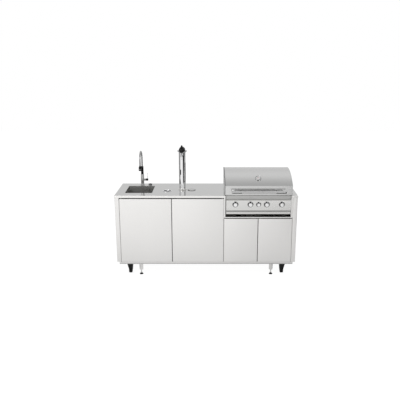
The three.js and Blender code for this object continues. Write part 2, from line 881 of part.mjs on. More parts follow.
function drainKnob() {
  const knob = turned(
    [
      [0, -drainKnobStemLength],
      [drainKnobStemRadius, -drainKnobStemLength],
      [drainKnobStemRadius, seat],
      [drainKnobRadius, seat],
      [drainKnobRadius, drainKnobHeight / 2],
      [drainKnobRadius * drainKnobTopShare, drainKnobHeight],
      [0, drainKnobHeight],
    ],
    barSides,
  );
  piece("drain_knob", knob.translate([drainKnobX, drainKnobY, 0]), blackPlastic);
}

// The tower is a tube with a flange at its foot and a dished brim at its top, where a ball cap sits
function tower() {
  const brimFloor = towerHeight;
  const brimTop = towerHeight + towerBrimRise;
  const column = turned(
    [
      [0, seat],
      [towerFlangeRadius, seat],
      [towerFlangeRadius, towerFlangeHeight / 2],
      [towerRadius, towerFlangeHeight],
      [towerRadius, brimFloor - sheet],
      [towerBrimRadius, brimTop - sheet],
      [towerBrimRadius - seat * 2, brimTop],
      [towerRadius, brimFloor],
      [0, brimFloor],
    ],
    24,
  );
  const line = bar([0, 0, -overrun], [0, 0, towerHeight - towerCapRadius], towerLineHole, pinSides);
  piece("tower_column", column.subtract(line).translate([towerX, towerFromFront, 0]), chrome);

  const seatAngle = Math.asin(towerCapSeatRadius / towerCapRadius);
  const rise = towerCapRadius * Math.cos(seatAngle);
  const profile = [[0, -rise]];
  const steps = 8;
  for (let i = 0; i <= steps; i++) {
    const angle = seatAngle + (i / steps) * (Math.PI - seatAngle);
    profile.push([towerCapRadius * Math.sin(angle), -towerCapRadius * Math.cos(angle)]);
  }
  profile[profile.length - 1][0] = 0;
  const cap = turned(profile, 22).translate([towerX, towerFromFront, brimFloor + seat + rise]);
  piece("tower_cap", cap, blackPlastic);
}

// The tap stands out from the front of the tower on a shank, far enough for its handle to clear the brim
function tap() {
  const shankStart = -towerRadius - seat;
  const bodyY = -(towerBrimRadius + seat + tapHandleRadius);
  const shank = bar([0, shankStart, tapHeight], [0, bodyY, tapHeight], tapShankRadius, 16);
  const collarEnd = shankStart - tapCollarLength;
  const collar = bar([0, shankStart, tapHeight], [0, collarEnd, tapHeight], tapCollarRadius);
  const bodyTop = tapHeight + tapBodyRise;
  const body = bar([0, bodyY, tapHeight - tapBodyDrop], [0, bodyY, bodyTop], tapBodyRadius);
  const tilt = (tapSpoutTilt * Math.PI) / 180;
  const spoutEndY = bodyY - tapSpoutLength * Math.sin(tilt);
  const spoutEndZ = tapHeight - tapBodyDrop - tapSpoutLength * Math.cos(tilt);
  const spout = bar([0, bodyY, tapHeight - tapBodyDrop / 2], [0, spoutEndY, spoutEndZ], tapSpoutRadius, pinSides);
  const made = joined([shank, collar, body, spout]).translate([towerX, towerFromFront, 0]);
  piece("tap_body", made, chrome);

  // The handle tilts on the small ball at its foot, and is itself a ball with a pointed tip
  const centre = tapHandleLength * tapHandleCentreShare;
  const handle = turned(
    [
      ...ballProfile(tapHandleFootRadius, 0, [0, Math.PI / 2], tapHandleFootSteps),
      ...ballProfile(tapHandleRadius, centre, tapBallAngles(), tapHandleBallSteps),
      [tapHandleTipFootRadius, tapHandleLength * tapHandleTipShare],
      [tapHandleTipRadius, tapHandleLength],
      [0, tapHandleLength],
    ],
    barSides,
  );
  const pivot = [towerX, towerFromFront + bodyY, bodyTop + seat + tapHandleFootRadius];
  piece("tap_handle", handle.translate(pivot), blackPlastic);
}

// Where the ball of the tap's handle leaves its foot and meets its tip, as angles from straight down
function tapBallAngles() {
  const foot = Math.asin(tapHandleFootRadius / tapHandleRadius);
  const crown = Math.asin(tapHandleCrownRadius / tapHandleRadius);
  return [foot, Math.PI - crown];
}

// Points of a ball's outline between two angles from straight down
function ballProfile(radius, height, [from, to], steps) {
  const points = [];
  for (let i = 0; i <= steps; i++) {
    const angle = from + ((to - from) * i) / steps;
    points.push([radius * Math.sin(angle), height - radius * Math.cos(angle)]);
  }
  return points;
}

// The rinser is a round dish let into the counter, with a star that a glass presses down
function rinser() {
  const place = [rinserX, rinserFromFront, 0];
  const wall = rinserRadius - rinserRim;
  const dish = turned([
    [0, -rinserDepth - sheet - rinserDrainLength],
    [rinserDrainRadius, -rinserDepth - sheet - rinserDrainLength],
    [rinserDrainRadius, -rinserDepth - sheet],
    [wall, -rinserDepth - sheet],
    [wall, seat],
    [rinserRadius, seat],
    [rinserRadius, rimTop],
    [wall - sheet, rimTop],
    [wall - sheet * 2, -rinserDepth],
    [0, -rinserDepth],
  ]);
  const stemBore = rinserStemRadius + pivotClearance;
  const stemHole = bar([0, 0, -rinserDepth - rinserDrainLength - overrun], [0, 0, 0], stemBore, pinSides);
  piece("rinser_tray", dish.subtract(stemHole).translate(place), chrome);

  const starTop = rimTop;
  const starUnder = starTop - rinserStarThickness;
  const hubUnder = -rinserDepth + rinserTravel + seat;
  let star = bar([0, 0, hubUnder], [0, 0, starTop], rinserStarHub);
  for (let i = 0; i < rinserStarArms; i++) {
    const arm = block([0, rinserStarRadius], about(0, rinserStarArmWidth / 2), [starUnder, starTop]);
    star = star.add(arm.rotate([0, 0, (360 * i) / rinserStarArms]));
  }
  star = star.add(bar([0, 0, hubUnder - rinserStemLength], [0, 0, starTop], rinserStemRadius, pinSides));
  piece("rinser_star", star.translate(place), chrome);

  const collarRadius = grommetRadius - grommetCollar;
  const lid = turned(
    [
      [0, seat],
      [collarRadius - sheet, seat],
      [collarRadius - sheet, -lipHeight / 2],
      [collarRadius, -lipHeight / 2],
      [collarRadius, seat],
      [grommetRadius, seat],
      [grommetRadius, grommetLidHeight / 2],
      [grommetRadius - sheet, grommetLidHeight],
      [0, grommetLidHeight],
    ],
  );
  piece("grommet_lid", lid.translate([grommetX, grommetFromFront, 0]), chrome);
}

// The firebox is an open-bottomed box on a rim that rests on the counter, with ledges for what stands in it
function firebox() {
  const bottom = trayBottom - sheet;
  const sides = about(grillX, fireboxHalf);
  const inside = about(grillX, fireboxInner);
  const rim = block(
    about(grillX, hoodHalf),
    [0, apronSetback + fireboxDepth + rimReach],
    [seat, rimTop],
  );
  const walls = block(sides, [apronSetback, apronSetback + fireboxDepth], [bottom, rimTop]);
  const hollow = block(inside, [fireboxFrontIn, fireboxRearIn], [bottom - overrun, rimTop + overrun]);
  const frontWall = about(apronSetback, sheet + overrun);
  const trayMouth = block(inside, frontWall, [bottom - overrun, panelBottom]);
  let box = rim.add(walls).subtract(hollow).subtract(trayMouth);
  const ledge = (drop, reach) => {
    const heights = [-drop - sheet, -drop];
    box = box.add(block(inside, [fireboxFrontIn - sheet / 2, fireboxFrontIn + reach], heights));
    box = box.add(block(inside, [fireboxRearIn - reach, fireboxRearIn + sheet / 2], heights));
  };
  ledge(grateLedgeDrop, ledgeReach);
  ledge(tentLedgeDrop, ledgeReach);
  ledge(-burnerZ + burnerRadius + seat, ledgeReach + burnerRearGap);
  for (const side of [-1, 1]) {
    const outerX = grillX + side * (fireboxInner + sheet / 2);
    const innerEdge = grillX + side * (fireboxInner - runnerReach);
    const spanX = [Math.min(outerX, innerEdge), Math.max(outerX, innerEdge)];
    box = box.add(block(spanX, [fireboxFrontIn, fireboxRearIn], [bottom, bottom + sheet]));
    const wallIn = hoodHalf - sheet;
    const earIn = wallIn - hingeEarGap - hingeEarThickness;
    const ear = prism(earOutline(), "X", orderedSpan(side * earIn, side * (wallIn - hingeEarGap)));
    const pinTo = side * (hoodHalf + hingePinSpare);
    const pin = bar([side * earIn, hoodHingeY, hingeZ], [pinTo, hoodHingeY, hingeZ], pivotRadius, pinSides);
    box = box.add(ear.add(pin).translate([grillX, 0, 0]));
  }
  for (const offset of burnerOffsets) {
    const x = grillX + offset;
    const [holeFrom, holeTo] = frontWall;
    box = box.subtract(bar([x, holeFrom, burnerZ], [x, holeTo, burnerZ], nozzleHoleRadius, pinSides));
  }
  piece("firebox", box, innerSteel);
}

function orderedSpan(a, b) {
  return a < b ? [a, b] : [b, a];
}

// An ear with a round top that carries a hinge pin of the hood
function earOutline() {
  const shape = new THREE.Shape();
  const [back, front] = about(hoodHingeY, hingeEarHalfWidth);
  shape.moveTo(back, rimTop - sheet / 2);
  shape.lineTo(front, rimTop - sheet / 2);
  shape.lineTo(front, hingeZ);
  shape.absarc(hoodHingeY, hingeZ, hingeEarHalfWidth, 0, Math.PI);
  return shape;
}

// Bars from front to back over two cross bars, in two grates side by side
function grates() {
  const width = (2 * fireboxInner - 3 * grateGap) / 2;
  const frontY = fireboxFrontIn + grateGap;
  const rearY = fireboxRearIn - grateGap;
  const under = -grateLedgeDrop + seat;
  const bars = Math.floor((width - grateBarWidth) / gratePitch) + 1;
  const pitch = (width - grateBarWidth) / (bars - 1);
  for (const [side, name] of [[-1, "cooking_grate_left"], [1, "cooking_grate_right"]]) {
    const middle = grillX + (side * (width + grateGap)) / 2;
    const crossBars = [frontY + grateGap, rearY - grateBarWidth - grateGap].map((y) =>
      block(about(middle, width / 2 - grateGap), [y, y + grateBarWidth], [under, under + grateBarHeight]),
    );
    const rods = [];
    for (let i = 0; i < bars; i++) {
      const x = middle - width / 2 + i * pitch;
      const low = under + grateBarHeight / 2;
      const heights = [low, low + grateBarHeight];
      rods.push(block([x, x + grateBarWidth], [frontY, rearY], heights));
    }
    piece(name, joined([...crossBars, ...rods]), castIron);
  }
}

// A bent sheet over each burner
function flameTents() {
  const under = -tentLedgeDrop + seat;
  const rise = under + tentRise;
  burnerOffsets.forEach((offset, index) => {
    const x = grillX + offset;
    const shape = outline([
      [x - tentHalfWidth, under],
      [x - tentHalfWidth + sheet * 2, under],
      [x, rise - sheet],
      [x + tentHalfWidth - sheet * 2, under],
      [x + tentHalfWidth, under],
      [x, rise + sheet],
    ]);
    const tent = prism(shape, "Y", [fireboxFrontIn + grateGap, fireboxRearIn - grateGap]);
    piece(`flame_tent_${index + 1}`, tent, innerSteel);
  });
}

// Four burner tubes joined by a crossover channel near the back
function burners() {
  const frontY = fireboxFrontIn + burnerFrontGap;
  const rearY = fireboxRearIn - burnerRearGap;
  const tubes = burnerOffsets.map((offset) =>
    bar([offset, frontY, burnerZ], [offset, rearY, burnerZ], burnerRadius, 10),
  );
  const crossoverEnd = rearY - crossoverWidth;
  const crossover = block(
    about(0, outerKnobOffset),
    [crossoverEnd - crossoverWidth, crossoverEnd],
    about(burnerZ, burnerRadius / 2),
  );
  const mouthSpan = [frontY - overrun, frontY + burnerMouthDepth];
  const mouths = burnerOffsets.map((offset) => {
    const [from, to] = mouthSpan.map((y) => [offset, y, burnerZ]);
    return bar(from, to, burnerBore, 10);
  });
  piece("burner_set", cut(joined([crossover, ...tubes]), mouths).translate([grillX, 0, 0]), innerSteel);
}

// A wire rack over the back of the grates on a pair of end frames that stand on the rim
function warmingRack() {
  const endX = (fireboxHalf + hoodHalf) / 2 - sheet * 2;
  const rearY = fireboxRearIn - rackBehindGap;
  const frontY = rearY - rackDepth;
  const parts = [];
  for (const x of [-endX, endX]) {
    for (const y of [frontY, rearY]) {
      parts.push(bar([x, y, rimTop + seat], [x, y, rackHeight + rackPostRadius], rackPostRadius, rodSides));
    }
    parts.push(bar([x, frontY, rackHeight], [x, rearY, rackHeight], rackPostRadius, rodSides));
  }
  for (let i = 0; i < rackRods; i++) {
    const y = frontY + ((rearY - frontY) * i) / (rackRods - 1);
    parts.push(bar([-endX, y, rackHeight], [endX, y, rackHeight], rackRodRadius, rodSides));
  }
  piece("warming_rack", joined(parts).translate([grillX, 0, 0]), chrome);
}

// The control panel is a box open at its back, with a bezel round each knob's hole
function controlPanel() {
  const back = apronSetback - seat;
  const face = panelFrontY;
  const outer = prism(
    outline([
      [back, panelTop],
      [face + panelChamfer, panelTop],
      [face, panelTop - panelChamfer],
      [face, panelBottom],
      [back, panelBottom],
    ]),
    "X",
    about(grillX, fireboxHalf),
  );
  const inner = prism(
    outline([
      [back + overrun, panelTop - sheet],
      [face + panelChamfer + sheet, panelTop - sheet],
      [face + sheet, panelTop - panelChamfer - sheet],
      [face + sheet, panelBottom + sheet],
      [back + overrun, panelBottom + sheet],
    ]),
    "X",
    about(grillX, fireboxHalf - sheet),
  );
  let panel = outer.subtract(inner);
  for (const { offset, share } of knobs) {
    const x = grillX + offset;
    const hole = bar([x, face - overrun, knobZ], [x, face + sheet + overrun, knobZ], knobHoleRadius, pinSides);
    const radius = bezelRadius * share;
    const bezelOutline = [
      [radius - bezelWall, -sheet / 2],
      [radius, -sheet / 2],
      [radius - bezelWall / 2, bezelHeight],
      [radius - bezelWall, bezelHeight],
      [radius - bezelWall, -sheet / 2],
    ];
    const bezel = turned(bezelOutline, barSides);
    panel = panel.add(facingFront(bezel, [x, face, knobZ])).subtract(hole);
  }
  piece("control_panel", panel, brushedSteel);
}

// A knob with a skirt, a tapered grip, a pointer and the stem that reaches its valve
const knobs = [
  { name: "burner_knob_1", offset: -outerKnobOffset, share: 1 },
  { name: "burner_knob_2", offset: -innerKnobOffset, share: 1 },
  { name: "igniter_knob", offset: 0, share: centreKnobShare },
  { name: "burner_knob_3", offset: innerKnobOffset, share: 1 },
  { name: "burner_knob_4", offset: outerKnobOffset, share: 1 },
];
function knobPiece({ name, offset, share }) {
  const radius = knobRadius * share;
  const grip = radius - knobTaper;
  const length = knobLength;
  const stemEnd = -sheet - bezelStandoff + seat;
  const body = turned([
    [0, stemEnd],
    [knobStemRadius, stemEnd],
    [knobStemRadius, bezelStandoff],
    [radius, bezelStandoff],
    [radius, knobSkirt],
    [grip, knobSkirt + knobTaper],
    [grip - knobTaper / 2, length],
    [0, length],
  ], barSides);
  const pointer = block(
    about(0, knobPointerWidth / 2),
    [0, grip - knobTaper],
    [length - knobPointerHeight, length + knobPointerHeight],
  );
  piece(name, facingFront(body.add(pointer), [grillX + offset, panelFrontY, knobZ]), chrome);
}

// The gas manifold runs behind the panel below the knobs, with a valve and a nozzle for each burner
function gasManifold() {
  const valveFront = panelFrontY + sheet + bezelStandoff;
  const valveBack = apronSetback - seat;
  const pipeY = (valveFront + valveBack) / 2;
  const pipeZ = knobZ - manifoldDrop;
  const endX = fireboxInner - valveWidth;
  const parts = [bar([-endX, pipeY, pipeZ], [endX, pipeY, pipeZ], manifoldRadius, pinSides)];
  for (const offset of burnerOffsets) {
    const valveTop = knobZ + valveRise;
    const heights = [valveTop - valveHeight, valveTop];
    parts.push(block(about(offset, valveWidth / 2), [valveFront, valveBack], heights));
    const tip = fireboxFrontIn + nozzleReach;
    parts.push(bar([offset, valveBack - sheet, burnerZ], [offset, tip, burnerZ], nozzleRadius, rodSides));
  }
  piece("gas_manifold", joined(parts).translate([grillX, 0, 0]), brass);

  const igniterTop = knobZ + igniterHeight / 2;
  const igniter = block(
    about(grillX, igniterWidth / 2),
    [valveFront, valveBack],
    [igniterTop - igniterHeight, igniterTop],
  );
  piece("igniter_module", igniter, blackPlastic);
}

// The drip tray slides out under the control panel by a grip folded from its front
function dripTray() {
  const half = fireboxInner - traySideClearance;
  const frontY = fireboxFrontIn;
  const bottom = trayBottom + seat;
  const rearY = fireboxRearIn - runnerReach;
  const pan = block(about(grillX, half), [frontY, rearY], [bottom, bottom + trayWallHeight]);
  const hollow = block(
    about(grillX, half - sheet),
    [frontY + sheet, rearY - sheet],
    [bottom + sheet, bottom + trayWallHeight + overrun],
  );
  const faceY = apronSetback - sheet - seat;
  const face = block(about(grillX, fireboxHalf), [faceY, faceY + sheet], [trayBottom, trayTop]);
  const bridge = block(about(grillX, half), [faceY, frontY + sheet], [bottom, bottom + sheet]);
  const gripTop = trayBottom + trayGripHeight;
  const gripY = faceY - trayGripReach;
  const shelf = block(about(grillX, fireboxHalf), [gripY, faceY + sheet], [gripTop - sheet, gripTop]);
  const lip = block(about(grillX, fireboxHalf), [gripY, gripY + sheet], [trayBottom, gripTop]);
  piece("drip_tray", pan.subtract(hollow).add(joined([face, bridge, shelf, lip])), brushedSteel);
}

// The outline of the hood from its side: a straight front band, a crease, a curved top and a rounded heel
function hoodOutline(inset) {
  const shape = new THREE.Shape();
  const rearY = hoodHingeY + hoodHingeDrop - inset;
  const low = inset > 0 ? hoodBottom - overrun : hoodBottom;
  shape.moveTo(inset, low);
  shape.lineTo(inset, hoodCrease - inset / 2);
  const shoulder = hoodApex * hoodShoulderShare;
  shape.quadraticCurveTo(shoulder, hoodTop - inset, hoodApex, hoodTop - inset);
  shape.quadraticCurveTo(rearY - inset, hoodTop - inset, rearY, hoodRearShoulder);
  shape.lineTo(rearY, hingeZ);
  if (inset > 0) shape.lineTo(rearY, low);
  else shape.absarc(hoodHingeY, hingeZ, hoodHingeDrop, 0, -Math.PI / 2, true);
  return shape;
}

function hood() {
  const outer = prism(hoodOutline(0), "X", about(grillX, hoodHalf), hoodCurveSteps);
  const inner = prism(hoodOutline(sheet), "X", about(grillX, hoodHalf - sheet), hoodCurveSteps);
  const rearSlot = block(
    about(grillX, hoodHalf - sheet),
    [hoodHingeY, overallRear],
    [hoodBottom - overrun, hoodRearOpening],
  );
  const pivot = bar(
    [grillX - hoodWidth, hoodHingeY, hingeZ],
    [grillX + hoodWidth, hoodHingeY, hingeZ],
    pivotBore,
    pinSides,
  );
  const { point, normal } = thermometerPlace();
  const probeHole = bar(
    point.clone().addScaledVector(normal, -overrun * 2).toArray(),
    point.clone().addScaledVector(normal, overrun * 2).toArray(),
    thermometerProbeRadius + pivotClearance,
    pinSides,
  );
  piece("hood_shell", cut(outer, [inner, rearSlot, pivot, probeHole]), brushedSteel);
}

// Where the thermometer stands on the curve of the hood, and the way it faces
function thermometerPlace() {
  const shoulder = new THREE.Vector2(hoodApex * hoodShoulderShare, hoodTop);
  const curve = new THREE.QuadraticBezierCurve(
    new THREE.Vector2(0, hoodCrease),
    shoulder,
    new THREE.Vector2(hoodApex, hoodTop),
  );
  const spot = curve.getPoint(thermometerShare);
  const along = curve.getTangent(thermometerShare);
  return {
    point: new THREE.Vector3(grillX, spot.x, spot.y),
    normal: new THREE.Vector3(0, -along.y, along.x),
    angle: Math.atan2(along.y, along.x),
  };
}

function thermometer() {
  const gauge = turned([
    [0, -thermometerProbeLength],
    [thermometerProbeRadius, -thermometerProbeLength],
    [thermometerProbeRadius, seat * 2],
    [thermometerRadius, seat * 2],
    [thermometerRadius, thermometerDepth * thermometerRimHeightShare],
    [thermometerRadius * thermometerRimShare, thermometerDepth],
    [thermometerRadius * thermometerGlassShare, thermometerDepth * thermometerGlassShare],
    [0, thermometerDepth * thermometerGlassShare],
  ]);
  const { point, angle } = thermometerPlace();
  const tilt = (angle * 180) / Math.PI;
  piece("thermometer", gauge.rotate([tilt, 0, 0]).translate(point.toArray()), dialWhite);
}

// The hood's handle is a bar between two long brackets with round ends
function hoodHandle() {
  const axis = [-handleStandoff, hoodBottom + handleRise - handleRadius / 2];
  const half = hoodHalf - handleInset;
  const tube = bar([grillX - half, ...axis], [grillX + half, ...axis], handleRadius);
  const brackets = [-1, 1].map((side) => {
    const middle = grillX + side * (half - handleBracketLength / 2);
    const radius = handleBracketHeight / 2 - seat;
    const shape = roundedRectangle(
      about(middle, handleBracketLength / 2),
      about(axis[1], handleBracketHeight / 2),
      radius,
    );
    return prism(shape, "Y", [axis[0], -seat], 3);
  });
  piece("hood_handle", joined([tube, ...brackets]), chrome);
}

// A caster: the fork swivels under its plate and trails the wheel on its axle
function caster(name, x, y) {
  const plateUnder = baseUnder - casterPlateThickness;
  const raceTop = plateUnder - seat;
  const crown = raceTop - casterRaceHeight;
  const race = bar([0, 0, crown - casterCheek], [0, 0, raceTop], casterRaceRadius);
  const footHalf = casterWheelWidth / 2 + casterCheekGap + casterCheek;
  const footZ = axleZ - casterAxleBoss;
  const front = (inset) =>
    outline([
      [-casterCrownHalfWidth + inset, crown - inset],
      [-footHalf + inset, footZ - (inset > 0 ? overrun : 0)],
      [footHalf - inset, footZ - (inset > 0 ? overrun : 0)],
      [casterCrownHalfWidth - inset, crown - inset],
    ]);
  const reach = [-casterRaceRadius, casterTrail + casterRaceRadius];
  const bent = prism(front(0), "Y", reach).subtract(
    prism(front(casterCheek), "Y", [reach[0] - overrun, reach[1] + overrun]),
  );
  const side = new THREE.Shape();
  side.moveTo(-casterRaceRadius, crown + overrun);
  side.lineTo(-casterRaceRadius, crown - casterCheek);
  side.lineTo(casterTrail - casterAxleBoss, axleZ);
  side.absarc(casterTrail, axleZ, casterAxleBoss, Math.PI, Math.PI * 2);
  side.lineTo(casterRaceRadius, crown - casterCheek);
  side.lineTo(casterRaceRadius, crown + overrun);
  const cheeks = bent.intersect(prism(side, "X", about(0, casterCrownHalfWidth + overrun), 3));
  const [axleFrom, axleTo] = about(0, footHalf - sheet / 2).map((end) => [end, casterTrail, axleZ]);
  const axle = bar(axleFrom, axleTo, casterAxleRadius, pinSides);
  piece(`caster_fork_${name}`, joined([race, cheeks, axle]).translate([x, y, 0]), blackPlastic);

  const half = casterWheelWidth / 2;
  const bore = casterAxleRadius + pivotClearance;
  const wheel = turned(
    [
      [bore, -half],
      [casterWheelRadius - casterWheelRound, -half],
      [casterWheelRadius, -half + casterWheelRound],
      [casterWheelRadius, half - casterWheelRound],
      [casterWheelRadius - casterWheelRound, half],
      [bore, half],
      [bore, -half],
    ],
  );
  piece(`caster_wheel_${name}`, wheel.rotate([0, 90, 0]).translate([x, y + casterTrail, axleZ]), blackRubber);
}

// A levelling foot: a pad on a threaded rod that goes up into its sleeve
function levellingFoot(name, x, y) {
  const sleeveEnd = baseUnder - footSleeveLength;
  const padTop = floorZ + footPadHeight;
  const foot = turned(
    [
      [0, floorZ],
      [footPadRadius, floorZ],
      [footPadRadius, padTop - footPadHeight / 2],
      [footPadRadius * footPadTopShare, padTop],
      [footConeRadius, padTop + footConeRise],
      [footRodRadius, padTop + footConeRise],
      [footRodRadius, sleeveEnd + footRodEngage],
      [0, sleeveEnd + footRodEngage],
    ],
    pinSides,
  );
  piece(`foot_${name}`, foot.translate([x, y, 0]), blackRubber);
}

countertop();
sidePanel("side_panel_left", -1);
sidePanel("side_panel_right", 1);
backPanel();
divider();
basePan();
fingerRail();
grillFrame();
for (const door of doors) doorPiece(door);
sink();
faucet();
drainKnob();
tower();
tap();
rinser();
firebox();
grates();
flameTents();
burners();
warmingRack();
controlPanel();
for (const knob of knobs) knobPiece(knob);
gasManifold();
dripTray();
hood();
thermometer();
hoodHandle();
atCorners(casterInset, casterFromEdge, caster);
atCorners(footInset, footFromEdge, levellingFoot);

// The island stands on the floor, with the middle of its depth at the origin
island.position.set(0, -(overallFront + overallRear) / 2, deckHeight);
const kitchen = new THREE.Group();
kitchen.add(island);
export default kitchen;
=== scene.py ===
from math import asin, cos, pi, radians, sin, tau

import bmesh
import bpy
from mathutils import Matrix, Vector
from mathutils.geometry import delaunay_2d_cdt


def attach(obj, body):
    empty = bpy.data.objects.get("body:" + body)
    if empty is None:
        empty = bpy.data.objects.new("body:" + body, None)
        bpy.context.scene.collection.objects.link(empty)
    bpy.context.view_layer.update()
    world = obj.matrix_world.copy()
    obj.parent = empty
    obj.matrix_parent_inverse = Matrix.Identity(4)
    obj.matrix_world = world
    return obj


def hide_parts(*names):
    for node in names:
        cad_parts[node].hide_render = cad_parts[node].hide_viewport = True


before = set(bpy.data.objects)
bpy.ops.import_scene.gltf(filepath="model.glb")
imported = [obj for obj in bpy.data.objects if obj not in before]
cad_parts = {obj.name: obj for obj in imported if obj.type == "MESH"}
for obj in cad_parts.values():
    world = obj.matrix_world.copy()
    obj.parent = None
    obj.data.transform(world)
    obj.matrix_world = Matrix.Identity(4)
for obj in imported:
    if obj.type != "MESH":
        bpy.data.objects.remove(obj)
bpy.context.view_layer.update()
scene = bpy.context.scene

# The island's own frame is in millimetres: X along the counter from its middle, Y from the doors' face to the
# back, Z from the counter's top. Every piece is written in it, and Form.done puts it in the frame's metres.
MM = 0.001
ORIGIN = Vector((0.0, -0.28665, 0.93))
RIGHT, BACK, FRONT = (1, 0, 0), (0, 1, 0), (0, -1, 0)
SHEET_TOP, SHEET_BOTTOM = -3.3, -764.7
INSIDE_X = 952.7
BODY_DEPTH = 640
STILE_X, STILE_DEPTH = (196, 212), 33.7
PIVOT_Y, PIVOT_BORE = 10, 4.4
SINK_X, SINK_Y = -753.5, 315.0
SINK_OPENING = (-905, -602, 132, 498)
FAUCET_Y, SPOUT_REACH = 555.0, 200
DRAIN_KNOB = (-664.5, 576, 0)
TOWER_X, TOWER_Y = -270.0, 320.0
RINSER_X, RINSER_Y = -440.0, 235.0
GROMMET = (-165, 280, 0)
GRILL_X = 572.5
PANEL_Y, KNOB_Z = -22, -92.0
CASTER_X, CASTER_YS = 864, (80, 560)
FOOT_X, FOOT_YS = 737, (60, 580)
FLOOR_Z = -930.0


def placed(name, data):
    made = bpy.data.objects.new(name, data)
    scene.collection.objects.link(made)
    return made


# ---------------- materials


def new_material(name):
    material = bpy.data.materials.new(name)
    material.use_nodes = True
    material.node_tree.nodes.clear()
    return material, material.node_tree


def node(tree, kind, *in_order, operation=None, **by_name):
    """Adds a shader node. Its inputs, in order or by name with _ for a space, take values or outputs."""
    made = tree.nodes.new("ShaderNode" + kind)
    if operation:
        made.operation = operation
    for key, value in [*enumerate(in_order), *by_name.items()]:
        socket = made.inputs[key.replace("_", " ") if isinstance(key, str) else key]
        if isinstance(value, bpy.types.NodeSocket):
            tree.links.new(value, socket)
        else:
            socket.default_value = value
    return made


def ranged(tree, value, start, end, low, high, smooth=False):
    """Maps what lies from start to end onto low to high."""
    made = node(tree, "MapRange", Value=value, From_Min=start, From_Max=end, To_Min=low, To_Max=high)
    if smooth:
        made.interpolation_type = "SMOOTHSTEP"
    return made.outputs["Result"]


def grain(tree, scale, detail=3.0):
    """Noise in the piece's own coordinates, stretched along the short entries of scale."""
    mapping = node(tree, "Mapping", Scale=scale, Vector=node(tree, "TexCoord").outputs["Object"])
    return node(tree, "TexNoise", Scale=1.0, Detail=detail, Vector=mapping.outputs["Vector"]).outputs["Fac"]


NOISE_LOW, NOISE_HIGH = 0.3, 0.7
ACROSS = (5, 700, 700)
UPRIGHT = (700, 700, 5)
ALONG_Y = (700, 5, 700)
ROUND = (260, 260, 260)


def shaded(name, color, rough, metallic, bump, vary, rough_vary,
           fine=ROUND, mottle=(7, 7, 9), specular=0.5, coat=0.0):
    """A principled material, in one grey or three parts, with fine grain in its roughness and bump, and slow
    variation in its colour."""
    material, tree = new_material(name)
    color = (color,) * 3 if isinstance(color, float) else color
    fine_noise, slow_noise = grain(tree, fine), grain(tree, mottle, 2.0)
    ramp = node(tree, "ValToRGB", slow_noise)
    for element, place, share in zip(ramp.color_ramp.elements, (NOISE_LOW, NOISE_HIGH), (1 - vary, 1 + vary)):
        element.position = place
        element.color = (*(min(1.0, c * share) for c in color), 1)
    half = rough_vary / 2
    roughness = node(tree, "Math", ranged(tree, fine_noise, NOISE_LOW, NOISE_HIGH, -half, half),
                     ranged(tree, slow_noise, NOISE_LOW, NOISE_HIGH, rough - half, rough + half),
                     operation="ADD")
    raised = node(tree, "Bump", Strength=bump, Distance=0.4 * MM, Height=fine_noise)
    shader = node(tree, "BsdfPrincipled", Base_Color=ramp.outputs["Color"], Metallic=metallic,
                  Roughness=roughness.outputs[0], Normal=raised.outputs["Normal"],
                  Specular_IOR_Level=specular, Coat_Weight=coat, Coat_Roughness=0.08)
    node(tree, "OutputMaterial", Surface=shader.outputs["BSDF"])
    return material


body_steel = shaded("body_steel", (0.92, 0.91, 0.895), 0.34, 1, 0.06, 0.012, 0.08, UPRIGHT, (1.6, 3, 1.2))
door_steel = shaded("door_steel", (0.93, 0.92, 0.905), 0.36, 1, 0.06, 0.012, 0.08, UPRIGHT, (1.2, 3, 1))
deck_steel = shaded("deck_steel", (0.66, 0.66, 0.655), 0.07, 1, 0.012, 0.012, 0.03, ACROSS, (3, 5, 3))
inner_steel = shaded("inner_steel", (0.52, 0.52, 0.51), 0.33, 1, 0.07, 0.04, 0.1, ACROSS)
sink_steel = shaded("sink_steel", (0.46, 0.46, 0.45), 0.3, 1, 0.07, 0.04, 0.08, ALONG_Y)
grill_steel = shaded("grill_steel", (0.68, 0.68, 0.675), 0.17, 1, 0.06, 0.012, 0.06, ACROSS, (2, 4, 3))
panel_steel = shaded("panel_steel", (0.77, 0.765, 0.75), 0.3, 1, 0.07, 0.015, 0.08, ACROSS, (2, 4, 3))
pan_steel = shaded("pan_steel", (0.85, 0.84, 0.83), 0.34, 1, 0.06, 0.015, 0.08, ACROSS)
# A mid grey steel, darker than the body: on the base pan's hem and the drip tray's upper strip it is painted
# shade; the faucet column takes the same grey.
mid_grey_steel = shaded("mid_grey_steel", (0.48, 0.48, 0.475), 0.35, 1, 0.05, 0.03, 0.06, ACROSS)
knob_steel = shaded("knob_steel", 0.94, 0.22, 1, 0.02, 0.01, 0.05)
# A near-black copy of the knob steel, painted shade: the knobs' barrels round their bright faces, a strip
# under the hood handle's bar, and the bar's left cap.
dark_shade_steel = shaded("dark_shade_steel", 0.13, 0.25, 1, 0.03, 0.02, 0.05)
# The knob bezels are steel darkened to a deep grey: painted shade round the knobs.
bezel_shade_steel = shaded("bezel_shade_steel", 0.2, 0.14, 1, 0.03, 0.02, 0.05)
